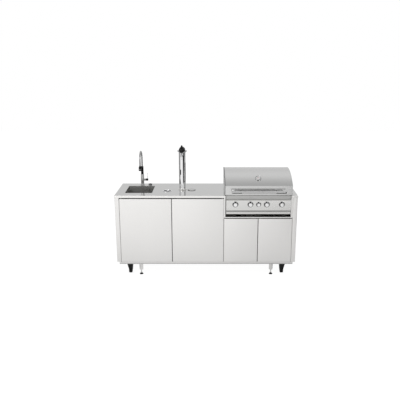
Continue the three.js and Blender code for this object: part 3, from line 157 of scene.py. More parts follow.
# A near-black steel for the strip along the hood's left edge: painted shade.
edge_shade_steel = shaded("edge_shade_steel", 0.12, 0.35, 1, 0.03, 0.03, 0.06)
gauge_steel = shaded("gauge_steel", 0.55, 0.2, 1, 0.02, 0.02, 0.05)
handle_steel = shaded("handle_steel", 0.8, 0.3, 1, 0.02, 0.015, 0.04)
faucet_steel = shaded("faucet_steel", 0.4, 0.16, 1, 0.02, 0.02, 0.05)
chrome = shaded("chrome", (0.86, 0.86, 0.87), 0.05, 1, 0.01, 0.015, 0.03)
tower_chrome = shaded("tower_chrome", (0.82, 0.82, 0.825), 0.015, 1, 0, 0.01, 0.01)
zinc = shaded("zinc", (0.82, 0.82, 0.81), 0.3, 1, 0.05, 0.03, 0.1)
brass = shaded("brass", (0.62, 0.43, 0.16), 0.3, 1, 0.06, 0.05, 0.1)
cast_iron = shaded("cast_iron", (0.022, 0.021, 0.02), 0.62, 0, 0.5, 0.2, 0.15)
black_gloss = shaded("black_gloss", (0.005, 0.005, 0.0055), 0.2, 0, 0.03, 0.15, 0.06, specular=0.09)
black_mirror = shaded("black_mirror", (0.005, 0.005, 0.0055), 0.07, 0, 0, 0.1, 0.02, specular=0.25)
black_satin = shaded("black_satin", (0.008, 0.008, 0.0085), 0.42, 0, 0.12, 0.15, 0.1, specular=0.25)
black_rubber = shaded("black_rubber", 0.011, 0.75, 0, 0.35, 0.2, 0.1, specular=0.2)
shade_black = shaded("shade_black", 0.004, 0.9, 0, 0.2, 0.15, 0.05, specular=0)
# A near-black for pieces that paint shade: the finger rail and the discs round the knobs' bases.
gap_shade_black = shaded("gap_shade_black", 0.02, 0.6, 0, 0.2, 0.15, 0.1)
pale_highlight_plastic = shaded("pale_highlight_plastic", (0.88, 0.88, 0.87), 0.35, 0, 0.02, 0.02, 0.05)
dial_face = shaded("dial_face", 0.62, 0.35, 0, 0.02, 0.02, 0.05, coat=0.8)
dial_ink = shaded("dial_ink", 0.05, 0.5, 0, 0.02, 0.1, 0.05)
dial_red = shaded("dial_red", (0.5, 0.04, 0.03), 0.4, 0, 0.02, 0.1, 0.05)


# ---------------- mesh tools


def turns(count):
    """The angles of a circle's even steps."""
    return [tau * i / count for i in range(count)]


def arc(cu, cv, radius, start, end, steps):
    """Points of an arc, in degrees."""
    angles = [radians(start + (end - start) * i / steps) for i in range(steps + 1)]
    return [(cu + radius * cos(a), cv + radius * sin(a)) for a in angles]


def circle(cu, cv, radius, sides):
    return [(cu + radius * cos(a), cv + radius * sin(a)) for a in turns(sides)]


def rectangle(u0, u1, v0, v1):
    return [(u0, v0), (u1, v0), (u1, v1), (u0, v1)]


def rounded(u0, u1, v0, v1, radius, steps):
    """A rectangle's outline with round corners."""
    corners = rectangle(u0 + radius, u1 - radius, v0 + radius, v1 - radius)
    return [p for i in range(4) for p in arc(*corners[i - 3], radius, 90 * i - 90, 90 * i, steps)]


def quad(a, b, c, steps):
    """Points of a quadratic curve from a to c with the control point b, without its start."""
    return [tuple((1 - t) ** 2 * p + 2 * t * (1 - t) * q + t * t * r for p, q, r in zip(a, b, c))
            for t in (i / steps for i in range(1, steps + 1))]


def fill(loops):
    """Triangles, as numbers of points, that fill the first loop of (u, v) and leave the others open."""
    points, edges, numbers = [], [], []
    for loop in loops:
        first, size = len(points), len(loop)
        points += [Vector(p) for p in loop]
        numbers += [(first + i, first + (i + 1) % size) for i in range(size)]
        edges += [(loop[i], loop[(i + 1) % size]) for i in range(size)]
    verts, _, faces, origins, _, _ = delaunay_2d_cdt(points, numbers, [], 0, 1e-6)
    kept = []
    for face in faces:
        u, v = (sum(verts[i][k] for i in face) / len(face) for k in (0, 1))
        crossed = sum(1 for a, b in edges
                      if (a[1] > v) != (b[1] > v) and u < a[0] + (v - a[1]) * (b[0] - a[0]) / (b[1] - a[1]))
        if crossed % 2:
            kept.append([origins[i][0] for i in face])
    return kept


def hoop(middle, side, other, radius, sides):
    """A circle in space, in the plane of two directions."""
    return [middle + (side * cos(a) + other * sin(a)) * radius for a in turns(sides)]


def lift(axis, u, v, w):
    """The place with w along an axis, and u and v along the two others in their order."""
    return {"X": (w, u, v), "Y": (u, w, v), "Z": (u, v, w)}[axis]


def turned(axis, middle, outward=True):
    """For done: makes a sheet's largest wall across the axis look away from the middle, or towards it."""
    def turn(bm):
        wall = max((f for f in bm.faces if abs(f.normal[axis]) > 0.9), key=lambda f: f.calc_area())
        away = (wall.calc_center_median() - Vector(middle)).dot(wall.normal) > 0
        if away != outward:
            bmesh.ops.reverse_faces(bm, faces=bm.faces)
    return turn


class Form:
    """A mesh under construction, in the island's millimetres."""

    def __init__(self):
        self.bm = bmesh.new()

    def points(self, coords):
        return [self.bm.verts.new(c) for c in coords]

    def face(self, verts, smooth=True):
        self.bm.faces.new(verts).smooth = smooth

    def loft(self, rings, closed_rings=True, closed_path=False):
        """Joins rings of equal length with quads; a ring of one point is a tip."""
        made = [self.points(ring) for ring in rings]
        for a, b in zip(made, made[1:] + made[:1] if closed_path else made[1:]):
            size = max(len(a), len(b))
            for i in range(size if closed_rings else size - 1):
                j = (i + 1) % size
                if len(a) == 1:
                    self.face([a[0], b[j], b[i]])
                elif len(b) == 1:
                    self.face([a[i], a[j], b[0]])
                else:
                    self.face([a[i], a[j], b[j], b[i]])
        return made

    def lathe(self, profile, base, axis=(0, 0, 1), sides=48, closed=False):
        """Turns a profile of (radius, height) about an axis from base."""
        up = Vector(axis).normalized()
        side = Vector(RIGHT) if abs(up.z) > 0.99 else up.orthogonal().normalized()
        other = up.cross(side)
        rings = []
        for radius, height in profile:
            middle = Vector(base) + up * height
            rings.append(hoop(middle, side, other, radius, sides) if radius else [middle])
        self.loft(rings, closed_path=closed)
        return self

    def tube(self, path, radius, sides):
        """Sweeps a circle along points without twist."""
        path = [Vector(p) for p in path]
        side, rings = None, [[path[0]]]
        for i, p in enumerate(path):
            ahead = (path[min(i + 1, len(path) - 1)] - path[max(i - 1, 0)]).normalized()
            side = side or ahead.orthogonal().normalized()
            side = (side - ahead * side.dot(ahead)).normalized()
            rings.append(hoop(p, side, ahead.cross(side), radius, sides))
        self.loft([*rings, [path[-1]]])
        return self

    def prism(self, outline, axis, start, end, holes=(), ends=(True, True)):
        """Extrudes an outline along an axis. The outline gives the two other coordinates, in their order."""
        loops = [outline, *holes]
        rings = [[self.points([lift(axis, u, v, w) for u, v in loop]) for loop in loops]
                 for w in (start, end)]
        for low, high in zip(*rings):
            for i in range(len(low)):
                j = (i + 1) % len(low)
                self.face([low[i], low[j], high[j], high[i]])
        for wanted, ring in zip(ends, rings):
            if wanted and holes:
                flat = [v for loop in ring for v in loop]
                for triangle in fill(loops):
                    self.face([flat[i] for i in triangle])
            elif wanted:
                self.face(ring[0])
        return self

    def block(self, x, y, z):
        return self.prism(rectangle(*x, *y), "Z", *z)

    def sheet(self, path, axis, start, end, side=()):
        """A folded sheet: a path across the axis, drawn along it, and the outline of its flat sides."""
        self.loft([[lift(axis, u, v, w) for u, v in path] for w in (start, end)], closed_rings=False)
        if side:
            for w in (start, end):
                self.face(self.points([lift(axis, u, v, w) for u, v in side]))
        return self

    def done(self, name, material, slot, body="island", replaces=(), bevel=0.0, segments=2, solid=0.0,
             sharp=32.0, merge=True, before=None):
        """Makes the piece, in place in the row frame, and rides it on its body."""
        bm = self.bm
        if merge:
            bmesh.ops.remove_doubles(bm, verts=bm.verts, dist=1e-4)
        bmesh.ops.recalc_face_normals(bm, faces=bm.faces)
        if before:
            before(bm)
        for v in bm.verts:
            v.co = v.co * MM + ORIGIN
        mesh = bpy.data.meshes.new(name)
        bm.edges.index_update()
        rims = [e.index for e in bm.edges if e.is_boundary]
        bm.to_mesh(mesh)
        bm.free()
        mesh.set_sharp_from_angle(angle=radians(sharp))
        for index in rims:
            mesh.edges[index].use_edge_sharp = True
        mesh.materials.append(material)
        piece = placed(name, mesh)
        soften(piece, bevel, segments, solid)
        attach(piece, body)
        if replaces:
            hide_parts(*replaces)


def soften(piece, bevel, segments, solid=0.0, weld=False):
    """Adds thickness to a sheet and rounds the sharp edges of a piece; sizes in millimetres."""
    if weld:
        piece.modifiers.new("merge", "WELD").merge_threshold = 0.02 * MM
    if solid:
        thick = piece.modifiers.new("sheet", "SOLIDIFY")
        thick.thickness = solid * MM
        thick.offset = -1
        thick.use_even_offset = True
    if bevel:
        edge = piece.modifiers.new("edge", "BEVEL")
        edge.width = bevel * MM
        edge.segments = segments
        edge.limit_method = "ANGLE"
        edge.angle_limit = radians(38)
        edge.harden_normals = True


def keep(name, material, bevel=0.8, segments=2):
    """A CAD node whose shape is right: it gets rounded edges and its material."""
    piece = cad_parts[name]
    piece.data.materials.clear()
    piece.data.materials.append(material)
    soften(piece, bevel, segments, weld=True)


# ---------------- counter and cabinet


def build_counter():
    notch_left, notch_right, notch_back = 212, 937, 511
    rim = 2.2

    def edge(out, z):
        """The counter's outline from one side of the notch for the grill round to the other."""
        ring = rounded(-1001.1 - out, 1001.1 + out, -1.1 - out, 641.1 + out, 2.5 + out, 6)
        first = next(i for i, p in enumerate(ring) if p[0] > notch_right)
        ring = [(notch_right, ring[first][1])] + ring[first:] + ring[:first]
        return [(u, v, z) for u, v in ring + [(notch_left, ring[0][1])]]

    top = Form()
    loops = [
        [(u, v) for u, v, z in edge(0, 0)] + [(notch_left, notch_back), (notch_right, notch_back)],
        rounded(*SINK_OPENING, 14, 8),
        circle(RINSER_X, RINSER_Y, 48.3, 48),
        circle(*GROMMET[:2], 39.3, 48),
        circle(SINK_X, FAUCET_Y, 12.4, 24),
        circle(*DRAIN_KNOB[:2], 4.4, 16),
        circle(TOWER_X, TOWER_Y, 14, 24),
    ]
    verts = [v for loop in loops for v in top.points([(u, v, 0) for u, v in loop])]
    for triangle in fill(loops):
        top.face([verts[i] for i in triangle], smooth=False)

    def upward(bm):
        for f in bm.faces:
            if f.normal.z < 0:
                f.normal_flip()

    top.done("countertop_sheet", deck_steel, "counter_steel", replaces=["countertop"], solid=3, before=upward)

    # the folded lip, with its round edge and its foot, and the return under it; the lip is a brighter steel
    # than the deck, a painted highlight along the front edge
    rings = [edge(0, 0)] + [edge(u, v - rim) for u, v in arc(0, 0, rim, 75, 0, 5)]
    rings += [edge(rim, -24.4), edge(1.8, -25)]
    lip = Form()
    lip.loft(rings, closed_rings=False)
    lip.done("countertop_lip", body_steel, "counter_steel", replaces=["countertop"], solid=2.9,
             before=turned(1, (0, 320, 0)))
    bores = [circle(x, PIVOT_Y, PIVOT_BORE, 16) for x in (-933, 176)]
    Form().prism(rounded(-952.7, 195.7, -0.4, 24, 1, 2), "Z", -25, -23, bores).done(
        "countertop_return", body_steel, "brushed_steel", bevel=0.4)


def build_cabinet():
    for name, x0, x1 in (("left", -1000, -953), ("right", 953, 1000)):
        Form().prism(rounded(x0, x1, 0, BODY_DEPTH, 5, 6), "Z", SHEET_BOTTOM, SHEET_TOP,
                     ends=(False, True)).done(
            f"side_panel_{name}_skin", body_steel, "brushed_steel", replaces=[f"side_panel_{name}"],
            bevel=1, solid=1.5)
    slots = [rounded(x - 45, x + 45, z - 4, z + 4, 3.99, 5)
             for middle in (-378.5, GRILL_X + 2)
             for x in (middle - 130, middle, middle + 130)
             for z in (SHEET_TOP - 120, SHEET_TOP - 144, SHEET_TOP - 168)]
    Form().prism(rectangle(-INSIDE_X, INSIDE_X, SHEET_BOTTOM, SHEET_TOP), "Y", 630, 632, slots).done(
        "back_panel_sheet", body_steel, "inner_steel", replaces=["back_panel"])
    screws = Form()
    for x in (-930, -560, -190, 190, 560, 930):
        for z in (-24, -385, -745):
            screws.lathe([(0, 0.4), (6, 0.4), (6, 1.2), (5, 2.6), (3.2, 3.2), (2.6, 3.2), (2.6, 1.8),
                          (0, 1.8)], (x, 631.8, z), BACK, 20)
    screws.done("back_panel_screws", zinc, "chrome")
    keep("divider_panel", inner_steel)
    # The finger rail is near-black: painted shade in the groove over the doors.
    keep("finger_rail", gap_shade_black)
    rail, rail_top = -251.5, -241
    skin = Form()
    for x in (STILE_X, (936.7, INSIDE_X)):
        skin.block(x, (0, STILE_DEPTH), (rail_top, SHEET_TOP))
    bores = [circle(x, PIVOT_Y, PIVOT_BORE, 16) for x in (216, 933)]
    skin.prism(rectangle(STILE_X[0], INSIDE_X, 0, STILE_DEPTH), "Z", rail, rail_top, bores)
    skin.block((931, 936.7), (4, STILE_DEPTH), (rail_top, SHEET_TOP))
    # A matt black sheet on the rail's top under the drip tray: painted shade in the open gap below the tray.
    Form().block((212.8, 930.6), (1.4, 33.5), (rail_top - 0.1, rail_top + 0.6)).done(
        "grill_rail_shade_sheet", shade_black, "rubber", bevel=0.2)
    skin.done("grill_frame_skin", body_steel, "brushed_steel", replaces=["grill_frame"],
              bevel=0.5, merge=False)
    # A black strip in the gap left of the control panel, on the left side only: painted shade.
    Form().block((212, 216.5), (7, STILE_DEPTH), (-236.8, -3.5)).done(
        "grill_left_gap_shade", black_rubber, "rubber", bevel=0.6)


def build_base():
    Form().prism(rounded(-975, 975, 2, 638, 6, 5), "Z", -790, -765).done(
        "base_pan_box", pan_steel, "brushed_steel", replaces=["base_pan"], bevel=0.8)
    # A darker strip along the base pan's lower edge: painted shade.
    Form().block((-972, 972), (1.1, 3), (-790.2, -784)).done(
        "base_pan_hem_shade", mid_grey_steel, "brushed_steel", bevel=0.4)
    # A brighter strip along the base pan's top edge under the doors: painted light.
    Form().block((-950, 950), (0.8, 2.3), (-765.6, -761.8)).done(
        "base_pan_lit_lip", door_steel, "brushed_steel", bevel=0.3)
    plates, sleeves = Form(), Form()
    for x in (-CASTER_X, CASTER_X):
        for y in CASTER_YS:
            plates.prism(rounded(x - 38, x + 38, y - 35, y + 35, 6, 4), "Z", -794, -790)
            for u, v in ((-29, -26), (-29, 26), (29, -26), (29, 26)):
                plates.lathe([(0, 0), (6.2, 0), (6.2, -4), (5.6, -4.6), (0, -4.6)],
                             (x + u, y + v, -794), sides=6)
    plates.done("caster_plates", zinc, "brushed_steel", bevel=0.5)
    for x in (-FOOT_X, FOOT_X):
        for y in FOOT_YS:
            sleeves.lathe([(0, -790), (27, -790), (27, -792.5), (22.5, -795), (21, -798), (21, -871.5),
                           (19.5, -874), (8.5, -874), (8, -872), (6.7, -872), (6.7, -800), (0, -800)],
                          (x, y, 0), sides=40)
    sleeves.done("foot_sleeves", body_steel, "brushed_steel")


# each door's left, right and top, the gap over it, its pivots' X, and the front and overlap of the black
# strip on its top, which paints shade in that gap
DOORS = {
    "door_left": (-951, -381.5, -37, 12, -933, 0.7, 0.5),
    "door_middle": (-375.5, 194, -37, 12, 176, 0.7, 0.5),
    "grill_door_left": (198, 571.5, -259, 9, 216, -0.3, 2),
    "grill_door_right": (577.5, 951, -259, 9, 933, -0.3, 2),
}


def build_doors():
    def seam(bm):
        rear = [f for f in bm.faces if f.normal.y > 0.99 and f.calc_area() > 10000]
        for width, depth in ((11, 0), (0.9, -0.9), (0.9, 0.7)):
            bmesh.ops.inset_region(bm, faces=rear, thickness=width, depth=depth)

    for name, (x0, x1, top, gap, pin, shade_front, overlap) in DOORS.items():
        Form().prism(rounded(x0, x1, 0, 20, 3, 5), "Z", -761, top).done(
            f"{name}_panel", door_steel, "brushed_steel", name, [name], bevel=0.6, before=seam)
        # A black strip on the door's top: painted shade in the gap over the door.
        Form().block((x0 + 4, x1 - 4), (shade_front, 19), (top - overlap, top + 0.9)).done(
            f"{name}_top_shade", black_rubber, "rubber", name, bevel=0.3)
        high = top + gap + 5
        pins = Form()
        for profile in ([(0, top - 1), (4, top - 1), (4, high - 1), (3, high), (0, high)],
                        [(0, -770), (3.2, -770), (4, -769), (4, -764.7), (7, -764.4), (7, -760.6),
                         (0, -760.6)]):
            pins.lathe(profile, (pin, PIVOT_Y, 0), sides=24)
        pins.done(f"{name}_pins", zinc, "chrome", name)
        bumpers = Form()
        for z in (top - 60, -700):
            bumpers.lathe([(0, 0), (5, 0), (5, 0.15), (0, 0.15)],
                          (x0 + 30 if pin > (x0 + x1) / 2 else x1 - 30, 20.05, z), BACK, 20)
        bumpers.done(f"{name}_bumpers", black_rubber, "rubber", name)


# ---------------- sink and faucet


def build_sink():
    def ring(out, radius, z, box=SINK_OPENING):
        x0, x1, y0, y1 = box
        return [(x, y, z) for x, y in rounded(x0 - out, x1 + out, y0 - out, y1 + out, radius, 8)]

    rings = [ring(14, 22, -3.5), ring(1.5, 16, -3.5), ring(0.2, 16, -4.4), ring(0, 16, -6.5),
             ring(0, 16, -166)]
    for i in range(1, 7):
        a = radians(15 * i)
        inset = 15 * (1 - cos(a))
        rings.append(ring(-inset, 16 + inset * 0.2, -166 - 15 * sin(a)))
    rings.append(ring(0, 50, -182.2, (-850, -657, 202, 428)))
    drain = [(SINK_X + 53 * cos(a), SINK_Y + 53 * sin(a), -183.2)
             for a in (radians(middle - 45 + 90 * i / 8) for middle in (-45, 45, 135, 225) for i in range(9))]
    rings += [drain,
              [(SINK_X + (x - SINK_X) * 0.76, SINK_Y + (y - SINK_Y) * 0.76, -184.4) for x, y, z in drain]]
    bowl = Form()
    bowl.loft(rings)
    bowl.done("sink_bowl_pressed", sink_steel, "inner_steel", replaces=["sink_bowl"], solid=1.2,
              before=turned(0, (SINK_X, SINK_Y, -90), outward=False))

    cup = Form()
    for profile in ([(52, 0.3), (51.5, 1.6), (50, 2.3), (41, 2.3), (38.5, 1.4), (37.4, -0.5), (36.6, -31),
                     (35, -34), (0, -34)],
                    [(0, -36), (38.5, -36), (39.4, -34), (39.4, 0.3), (52, 0.3)]):
        cup.lathe(profile, (SINK_X, SINK_Y, -183.3), sides=64)
    cup.done("sink_strainer_cup", chrome, "chrome", replaces=["sink_strainer"])
    middle = (SINK_X, SINK_Y, 0)
    holes = [[(u + SINK_X, v + SINK_Y) for u, v in circle(reach * cos(a), reach * sin(a), 1.9, 10)]
             for count, reach in ((6, 12), (12, 21), (16, 29.5)) for a in turns(count)]
    basket = Form().prism(circle(SINK_X, SINK_Y, 34.5, 48), "Z", -211.5, -210.5, holes)
    basket.lathe([(34.5, -211.5), (35, -188), (35.6, -186.5), (34.6, -186.5), (34, -188), (33.6, -210.5)],
                 middle)
    basket.lathe([(0, -211), (3, -211), (3, -197), (8, -195), (9, -192), (7.5, -189.5), (0, -189)],
                 middle, sides=32)
    basket.done("sink_basket", chrome, "chrome")

    x, y, top = SINK_X, SINK_Y, -219.6
    trap = Form().lathe([(0, top), (36, top), (36, top - 4), (34, top - 5), (34, top - 12), (30, top - 14),
                         (0, top - 14)], (x, y, 0))
    low = top - 124
    path = [(y, top - 10), (y, low + 6)]
    path += quad((y, low), (y, low - 45), (y + 45, low - 45), 8)
    path += quad((y + 45, low - 45), (y + 90, low - 45), (y + 90, low), 8)
    path.append((y + 90, low + 12))
    path += quad((y + 90, low + 22.5), (y + 90, low + 67.5), (y + 135, low + 67.5), 8)
    path.append((y + 285, low + 67.5))
    trap.tube([(x, u, v) for u, v in path], 18.6, 28)
    for u, v, axis in ((y, low + 30, (0, 0, 1)), (y + 90, low - 2, (0, 0, 1)), (y + 150, low + 67.5, BACK)):
        trap.lathe([(0, 0), (24.5, 0), (25.5, 1.5), (25.5, 16), (24, 18), (0, 18)], (x, u, v), axis, 12)
    trap.done("drain_trap_pipe", chrome, "chrome", replaces=["drain_trap"], sharp=25)


def build_faucet():
    x, y, mouth = SINK_X, FAUCET_Y, FAUCET_Y - SPOUT_REACH
    stem, hinge, spray = (x, y, 0), (x, y, 66), (x, mouth, 0)
    body = Form().lathe([(0, -60), (11, -60), (12, -59), (12, 0.4), (26, 0.4), (26, 2.5), (25, 4), (21, 5.8),
                         (19.2, 8.5), (18.5, 12), (18.5, 44), (18.9, 46), (18.9, 86), (18.5, 88), (18.5, 129),
                         (18, 131.8), (16.6, 132.9), (0, 132.9)], stem, sides=56)
    body.lathe([(0, 0), (12.6, 0), (12.6, 24), (12, 26), (12, 40.4), (11.2, 42.6), (0, 43)], hinge, RIGHT, 40)
    body.done("faucet_column", mid_grey_steel, "chrome", replaces=["faucet_body"])
    Form().lathe([(0, 43.4), (13, 43.4), (14, 44.6), (14, 64), (13, 66.4), (10, 67.2), (0, 67.3)], hinge,
                 RIGHT, 40).done(
        "faucet_lever_cap", black_gloss, "black_plastic", "faucet_lever", ["faucet_lever"])
    rod = Form()
    for profile in ([(0, 76), (3, 76), (3, 146), (2.6, 147.5), (0, 148)],
                    [(0, 79), (5, 79), (5, 82), (3.2, 84), (0, 84)]):
        rod.lathe(profile, (x + 60.1, y, 0), sides=24)
    rod.done("faucet_lever_rod", chrome, "chrome", "faucet_lever")
    Form().lathe([(0, 133.4), (14.2, 133.4), (15, 134.4), (15, 139), (14.6, 139.6), (15, 140.2), (15, 218),
                  (14.2, 222), (11, 226.5), (9.2, 229.2), (0, 229.3)], stem, sides=44).done(
        "faucet_spout_neck", black_gloss, "black_plastic", "faucet_spout", ["faucet_spout"])
    bend = [(x, y - 100 + 100 * cos(a), 315 + 100 * sin(a)) for a in (pi * i / 28 for i in range(1, 28))]
    spout = Form().tube([(x, y, 224), (x, y, 270), (x, y, 315), *bend, (x, mouth, 315), (x, mouth, 290),
                         (x, mouth, 262.6)], 8.5, 28)
    spout.lathe([(8.4, 0), (9.8, 0.4), (9.8, 7), (8.4, 8.4)], (x, mouth, 263), sides=36)
    spout.done("faucet_spout_tube", faucet_steel, "chrome", "faucet_spout")
    Form().lathe([(0, 262), (10.4, 262), (11, 261), (12.6, 257), (15.6, 249), (16.5, 246), (16.5, 217),
                  (16.2, 214), (14.8, 209), (14.2, 208.2), (12.5, 208.2), (12.5, 209.4), (0, 209.4)], spray,
                 sides=44).done(
        "spray_head_grip", black_gloss, "black_plastic", "spray_head", ["spray_head"])
    ring = Form().lathe([(16.4, 226), (16.9, 226.6), (16.9, 228.4), (16.4, 229)], spray, sides=44)
    for a in turns(10):
        ring.lathe([(0, 208.4), (0.9, 208.4), (1.1, 209.6), (0, 209.6)],
                   (x + 8.5 * cos(a), mouth + 8.5 * sin(a), 0), sides=8)
    ring.done("spray_head_ring", chrome, "chrome", "spray_head")
    Form().prism(rounded(x - 5, x + 5, 232, 246, 4.9, 5), "Y", mouth - 18.2, mouth - 14).done(
        "spray_head_button", black_satin, "black_plastic", "spray_head", bevel=0.8)
    Form().lathe([(0, 6.4), (20.6, 6.4), (22, 7), (22, 8), (21.2, 9.6), (19.4, 11.2), (17, 12), (15.5, 11.7),
                  (12, 10.8), (0, 10.6)], DRAIN_KNOB).done(
        "drain_knob_cap", black_gloss, "black_plastic", "drain_knob", ["drain_knob"])
    Form().lathe([(0, -26), (3.4, -26), (4, -25), (4, 0.4), (20.4, 0.4), (21.4, 1.4), (21.4, 5.6),
                  (20.4, 6.3), (0, 6.3)], DRAIN_KNOB).done(
        "drain_knob_foot", faucet_steel, "chrome", "drain_knob")


# ---------------- tap tower and counter fittings


def build_tower():
    middle = (TOWER_X, TOWER_Y, 0)
    column = Form().lathe([(0, 12), (38, 12), (38, 426), (36, 428), (0, 428)], middle, sides=96)
    column.lathe([(38, 396), (38.8, 396.4), (38.8, 399.6), (38, 400)], middle, sides=96)
    column.done("tower_column_tube", tower_chrome, "chrome", replaces=["tower_column"])
    Form().lathe([(0, 0.4), (46.5, 0.4), (48, 1.6), (48, 3.6), (46.8, 5), (42, 6.4), (39.6, 8.4), (38.4, 12),
                  (38.1, 18), (0, 18)], middle, sides=96).done("tower_foot", panel_steel, "chrome")
    # The brim is a darker steel than the chrome column: painted shade.
    Form().lathe([(37.6, 424), (38.3, 424.6), (39, 427.4), (41.4, 430.4), (54.4, 440.2), (55.9, 442.4),
                  (55.9, 444.4), (54.4, 444.9), (52.4, 443.6), (39.4, 433), (36.4, 430.2), (36.4, 424)],
                 middle, sides=96, closed=True).done("tower_brim", faucet_steel, "chrome")
    ball, seat, base_z = 35.5, 24, 430.3
    start = asin(seat / ball)
    rise = ball * cos(start)
    profile = [(0, base_z)]
    for i in range(25):
        a = start + (pi - start) * i / 24
        profile.append((ball * sin(a), base_z + rise - ball * cos(a)))
    profile[-1] = (0, profile[-1][1])
    Form().lathe(profile, middle, sides=64).done("tower_cap_ball", black_mirror, "black_plastic",
                                                 replaces=["tower_cap"])

    x, y, z = TOWER_X, TOWER_Y - 38.3, 405
    front = y - 51
    tap = Form().lathe([(0, 0), (13.6, 0), (15, 1), (15, 5.4), (13.6, 7), (9.6, 8), (8, 10), (8, 51),
                        (0, 51)], (x, y, z), FRONT, 40)
    tap.lathe([(0, -14), (9.6, -14), (11.5, -11), (11.5, 2), (12.3, 3), (12.3, 6), (11.2, 7.4), (8.4, 11),
               (7, 12), (0, 12)], (x, front, z), sides=40)
    tilt = radians(22)
    tap.lathe([(0, 0), (8.2, 0), (8.2, 8), (7, 10), (6.8, 33), (6.2, 34), (4.6, 34), (4.6, 26), (0, 26)],
              (x, front, z - 12), (0, -sin(tilt), -cos(tilt)), 32)
    tap.done("tap_faucet", chrome, "chrome", replaces=["tap_body"])
    pivot = (x, front, z + 18.3)
    profile = [(0, -6), (3, -5.2), (5.2, -3), (6, 0), (6, 7.2)]
    for i in range(1, 25):
        a = radians(10.5 + 144.5 * i / 24)
        profile.append((33.3 * sin(a), 42.4 - 33.3 * cos(a)))
    profile += [(15.4, 73.2), (13, 77), (10.6, 83), (8.4, 89), (6.4, 94.4), (4.2, 96.6), (0, 97)]
    Form().lathe(profile, pivot, sides=64).done(
        "tap_handle_grip", black_mirror, "black_plastic", "tap_handle", ["tap_handle"])
    Form().lathe([(6.05, -0.4), (7, 0.4), (7, 5.6), (6.05, 6.4)], pivot, sides=36).done(
        "tap_handle_ferrule", chrome, "chrome", "tap_handle")


def build_rinser():
    middle = (RINSER_X, RINSER_Y, 0)
    Form().lathe([(0, -44), (8, -44), (9, -43), (9, -14), (48, -14), (48, 0.4), (56, 0.4), (55.6, 1.6),
                  (54, 2.3), (47.6, 2.3), (46, 1.8), (45, 0.4), (44, -10.4), (42, -12), (0, -12)], middle,
                 sides=72).done(
        "rinser_dish", chrome, "chrome", replaces=["rinser_tray"])
    star = Form()
    ray = [(9, -3), (36.5, -3), *arc(37, 0, 3, -90, 90, 6)[1:-1], (36.5, 3), (9, 3)]
    for a in turns(6):
        turn = Matrix.Rotation(a, 2)
        star.prism([tuple(turn @ Vector(p) + Vector(middle[:2])) for p in ray], "Z", -2.6, 2.1)
        for reach in (16, 24, 32):
            star.lathe([(1.3, 2), (1.1, 2.3), (0, 2.3)],
                       (RINSER_X + reach * cos(a), RINSER_Y + reach * sin(a), 0), sides=10)
    # The hub is pale plastic: its pale colour is a painted highlight in the middle of the dark star.
    Form().lathe([(0, -6.6), (13, -6.6), (13, 0.6), (12, 1.3), (8, 2.1), (4, 2.3), (0, 2.3)], middle,
                 sides=36).done(
        "rinser_star_hub", pale_highlight_plastic, "chrome", "rinser_star")
    star.lathe([(0, -30), (4, -30), (4, -6)], middle, sides=24)
    star.done("rinser_star_jets", black_satin, "black_plastic", "rinser_star", ["rinser_star"],
              bevel=0.4, merge=False)
    Form().lathe([(0, 0.4), (37, 0.4), (37, -12), (38, -12), (38, 2.4), (34.6, 3), (30.6, 3), (30, 2.3),
                  (29.4, 3), (9, 3), (8.4, 2), (0, 2)], GROMMET, sides=64).done(
        "grommet_cover", deck_steel, "chrome", replaces=["grommet_lid"])
    Form().lathe([(38.2, -12), (39, -12), (39, 0.4), (45, 0.4), (45, 1.6), (43.6, 3), (38.6, 2.6)], GROMMET,
                 sides=64, closed=True).done("grommet_ring", black_rubber, "rubber")


# ---------------- grill

CREASE = (0, 108)
CURVE_PULL = (150.15, 238)
HOOD_TOP = (390, 238)


def build_hood():
    x0, x1 = 203, 942
    # the hood's side from the front hem over the crease and the top to the heel
    over = [(0, 6), CREASE, *quad(CREASE, CURVE_PULL, HOOD_TOP, 22),
            *quad(HOOD_TOP, (514, 238), (514, 190), 12)]
    side = over + [(514, 120), (514, 30)] + arc(490, 30, 24, 0, -90, 8)[1:]
    Form().sheet(over + [(514, 120), (514, 58)], "X", x0, x1, side).done(
        "hood_shell_skin", grill_steel, "brushed_steel", "hood", ["hood_shell"], solid=2, sharp=20,
        before=turned(1, (GRILL_X, 250, 120)))
    band = []
    for i, p in enumerate(over):
        ahead = Vector(over[min(i + 1, len(over) - 1)]) - Vector(over[max(i - 1, 0)])
        out = Vector((-ahead.y, ahead.x)).normalized()
        if (Vector(p) - Vector((250, 120))).dot(out) < 0:
            out.negate()
        band.append(tuple(Vector(p) + out * 0.7))
    # The left edge strip is a near-black steel, painted shade along the hood's left end; the right strip is
    # the hood's own steel.
    for name, material, a, b in (("left", edge_shade_steel, x0 - 0.7, x0 + 6),
                                 ("right", grill_steel, x1 - 8, x1 + 0.7)):
        Form().sheet(band, "X", a, b).done(
            f"hood_edge_{name}", material, "brushed_steel", "hood", solid=0.6, sharp=20)
    Form().prism([(-0.9, 6.2), (0.2, 5.8), (0.2, 16), (-0.9, 15.4)], "X", x0 + 6.5, x1 - 8.5).done(
        "hood_hem", grill_steel, "brushed_steel", "hood", bevel=0.3)


